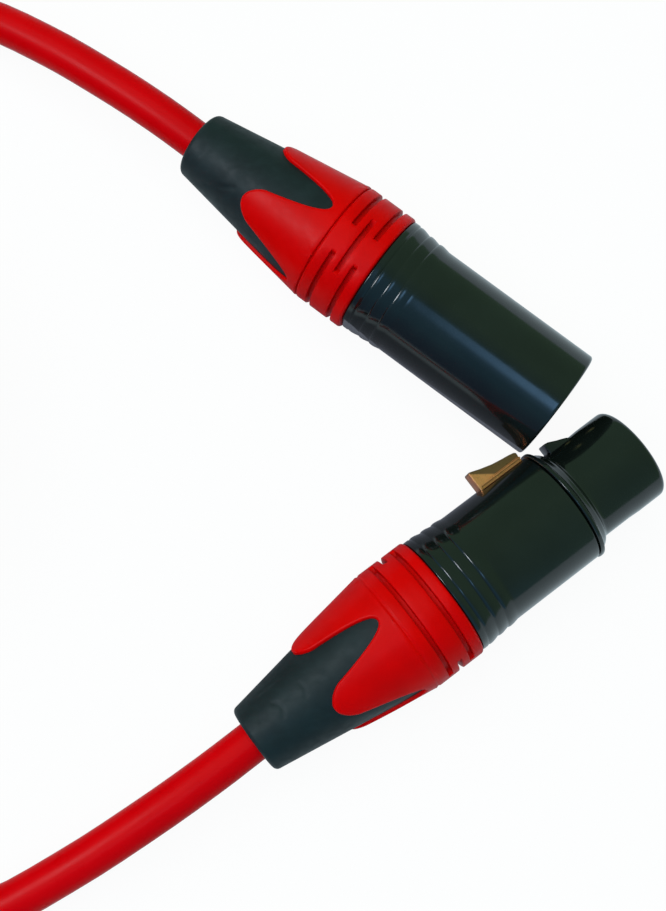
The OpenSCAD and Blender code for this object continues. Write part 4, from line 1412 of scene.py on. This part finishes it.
class LEAD_OT_inner_parts(Operator):
    """Gives the solids inside the connectors their materials"""

    bl_idname = "lead.inner_parts"
    bl_label = "Inner parts"

    def execute(self, context):
        insert = plain_plastic("insert_plastic", (0.018, 0.018, 0.02), 0.42)
        gold = plated_metal("contact_plating", (0.83, 0.62, 0.26), 0.22, 0.15)
        steel = plated_metal("spring_steel", (0.62, 0.63, 0.65), 0.28, 0.2)
        nylon = plain_plastic("chuck_nylon", (0.72, 0.72, 0.66), 0.45)
        white = plain_plastic("core_white", (0.75, 0.75, 0.72), 0.35, 0.003)
        blue = plain_plastic("core_blue", (0.03, 0.08, 0.4), 0.35, 0.003)
        copper = plated_metal("drain_copper", (0.75, 0.42, 0.24), 0.35, 0.4)
        for side in ("male", "female"):
            contact = side + ("_pin_" if side == "male" else "_contact_")
            for node, material in (
                ("_insert", insert), ("_chuck", nylon), ("_core_1", white), ("_core_2", blue),
                ("_drain", copper),
            ):
                dress(side + node, material)
            for number in "123":
                dress(contact + number, gold)
        for node in ("female_latch_pin", "female_latch_spring"):
            dress(node, steel)
        return {"FINISHED"}


class LEAD_OT_stage(Operator):
    """Sets the table, the light and the way colours are shown"""

    bl_idname = "lead.stage"
    bl_label = "Stage"

    def execute(self, context):
        settings = context.scene.lead_stage
        bpy.ops.object.select_all(action="DESELECT")
        bpy.ops.mesh.primitive_plane_add(size=8, location=(0, 0, 0))
        table = bpy.context.active_object
        table.name = "table_top"
        table.data.materials.append(white_table(settings.floor))
        add_area_light(
            "ceiling", settings.ceiling, (1.6, 1.6), CEILING_AT, (0, 0, 0), (1, 1, 1), glossy=False,
        )
        add_area_light(
            "lamp", settings.lamp, (0.26, 0.26), LAMP_AT, (0, 0, 0), LAMP_COLOUR, diffuse=False,
        )
        context.scene.world = room_world(settings)
        context.scene.view_settings.view_transform = "Standard"
        return {"FINISHED"}


class LEAD_PT_lead(Panel):
    """Lists the lead's pieces and their sizes"""

    bl_idname = "LEAD_PT_lead"
    bl_label = "Audio Lead"
    bl_space_type = "VIEW_3D"
    bl_region_type = "UI"
    bl_category = "Audio Lead"

    def draw(self, context):
        for operator, group in STEPS:
            box = self.layout.box()
            box.operator(operator.bl_idname)
            if group:
                settings = getattr(context.scene, group)
                for key in settings.__annotations__:
                    box.prop(settings, key)


STEPS = [
    (LEAD_OT_viewpoint, None),
    (LEAD_OT_cable, "lead_cable"),
    (LEAD_OT_boots, "lead_boot"),
    (LEAD_OT_bushings, "lead_bushing"),
    (LEAD_OT_shells, "lead_shell"),
    (LEAD_OT_latch, "lead_latch"),
    (LEAD_OT_inner_parts, None),
    (LEAD_OT_stage, "lead_stage"),
]
GROUPS = {
    "lead_cable": CableSettings,
    "lead_boot": BootSettings,
    "lead_bushing": BushingSettings,
    "lead_shell": ShellSettings,
    "lead_latch": LatchSettings,
    "lead_stage": StageSettings,
}


def register():
    for name, group in GROUPS.items():
        bpy.utils.register_class(group)
        setattr(bpy.types.Scene, name, PointerProperty(type=group))
    for operator, _ in STEPS:
        bpy.utils.register_class(operator)
    bpy.utils.register_class(LEAD_PT_lead)


def unregister():
    bpy.utils.unregister_class(LEAD_PT_lead)
    for operator, _ in reversed(STEPS):
        bpy.utils.unregister_class(operator)
    for name, group in GROUPS.items():
        delattr(bpy.types.Scene, name)
        bpy.utils.unregister_class(group)


def main():
    register()
    for operator, _ in STEPS:
        module, name = operator.bl_idname.split(".")
        getattr(getattr(bpy.ops, module), name)()


if __name__ == "__main__":
    main()
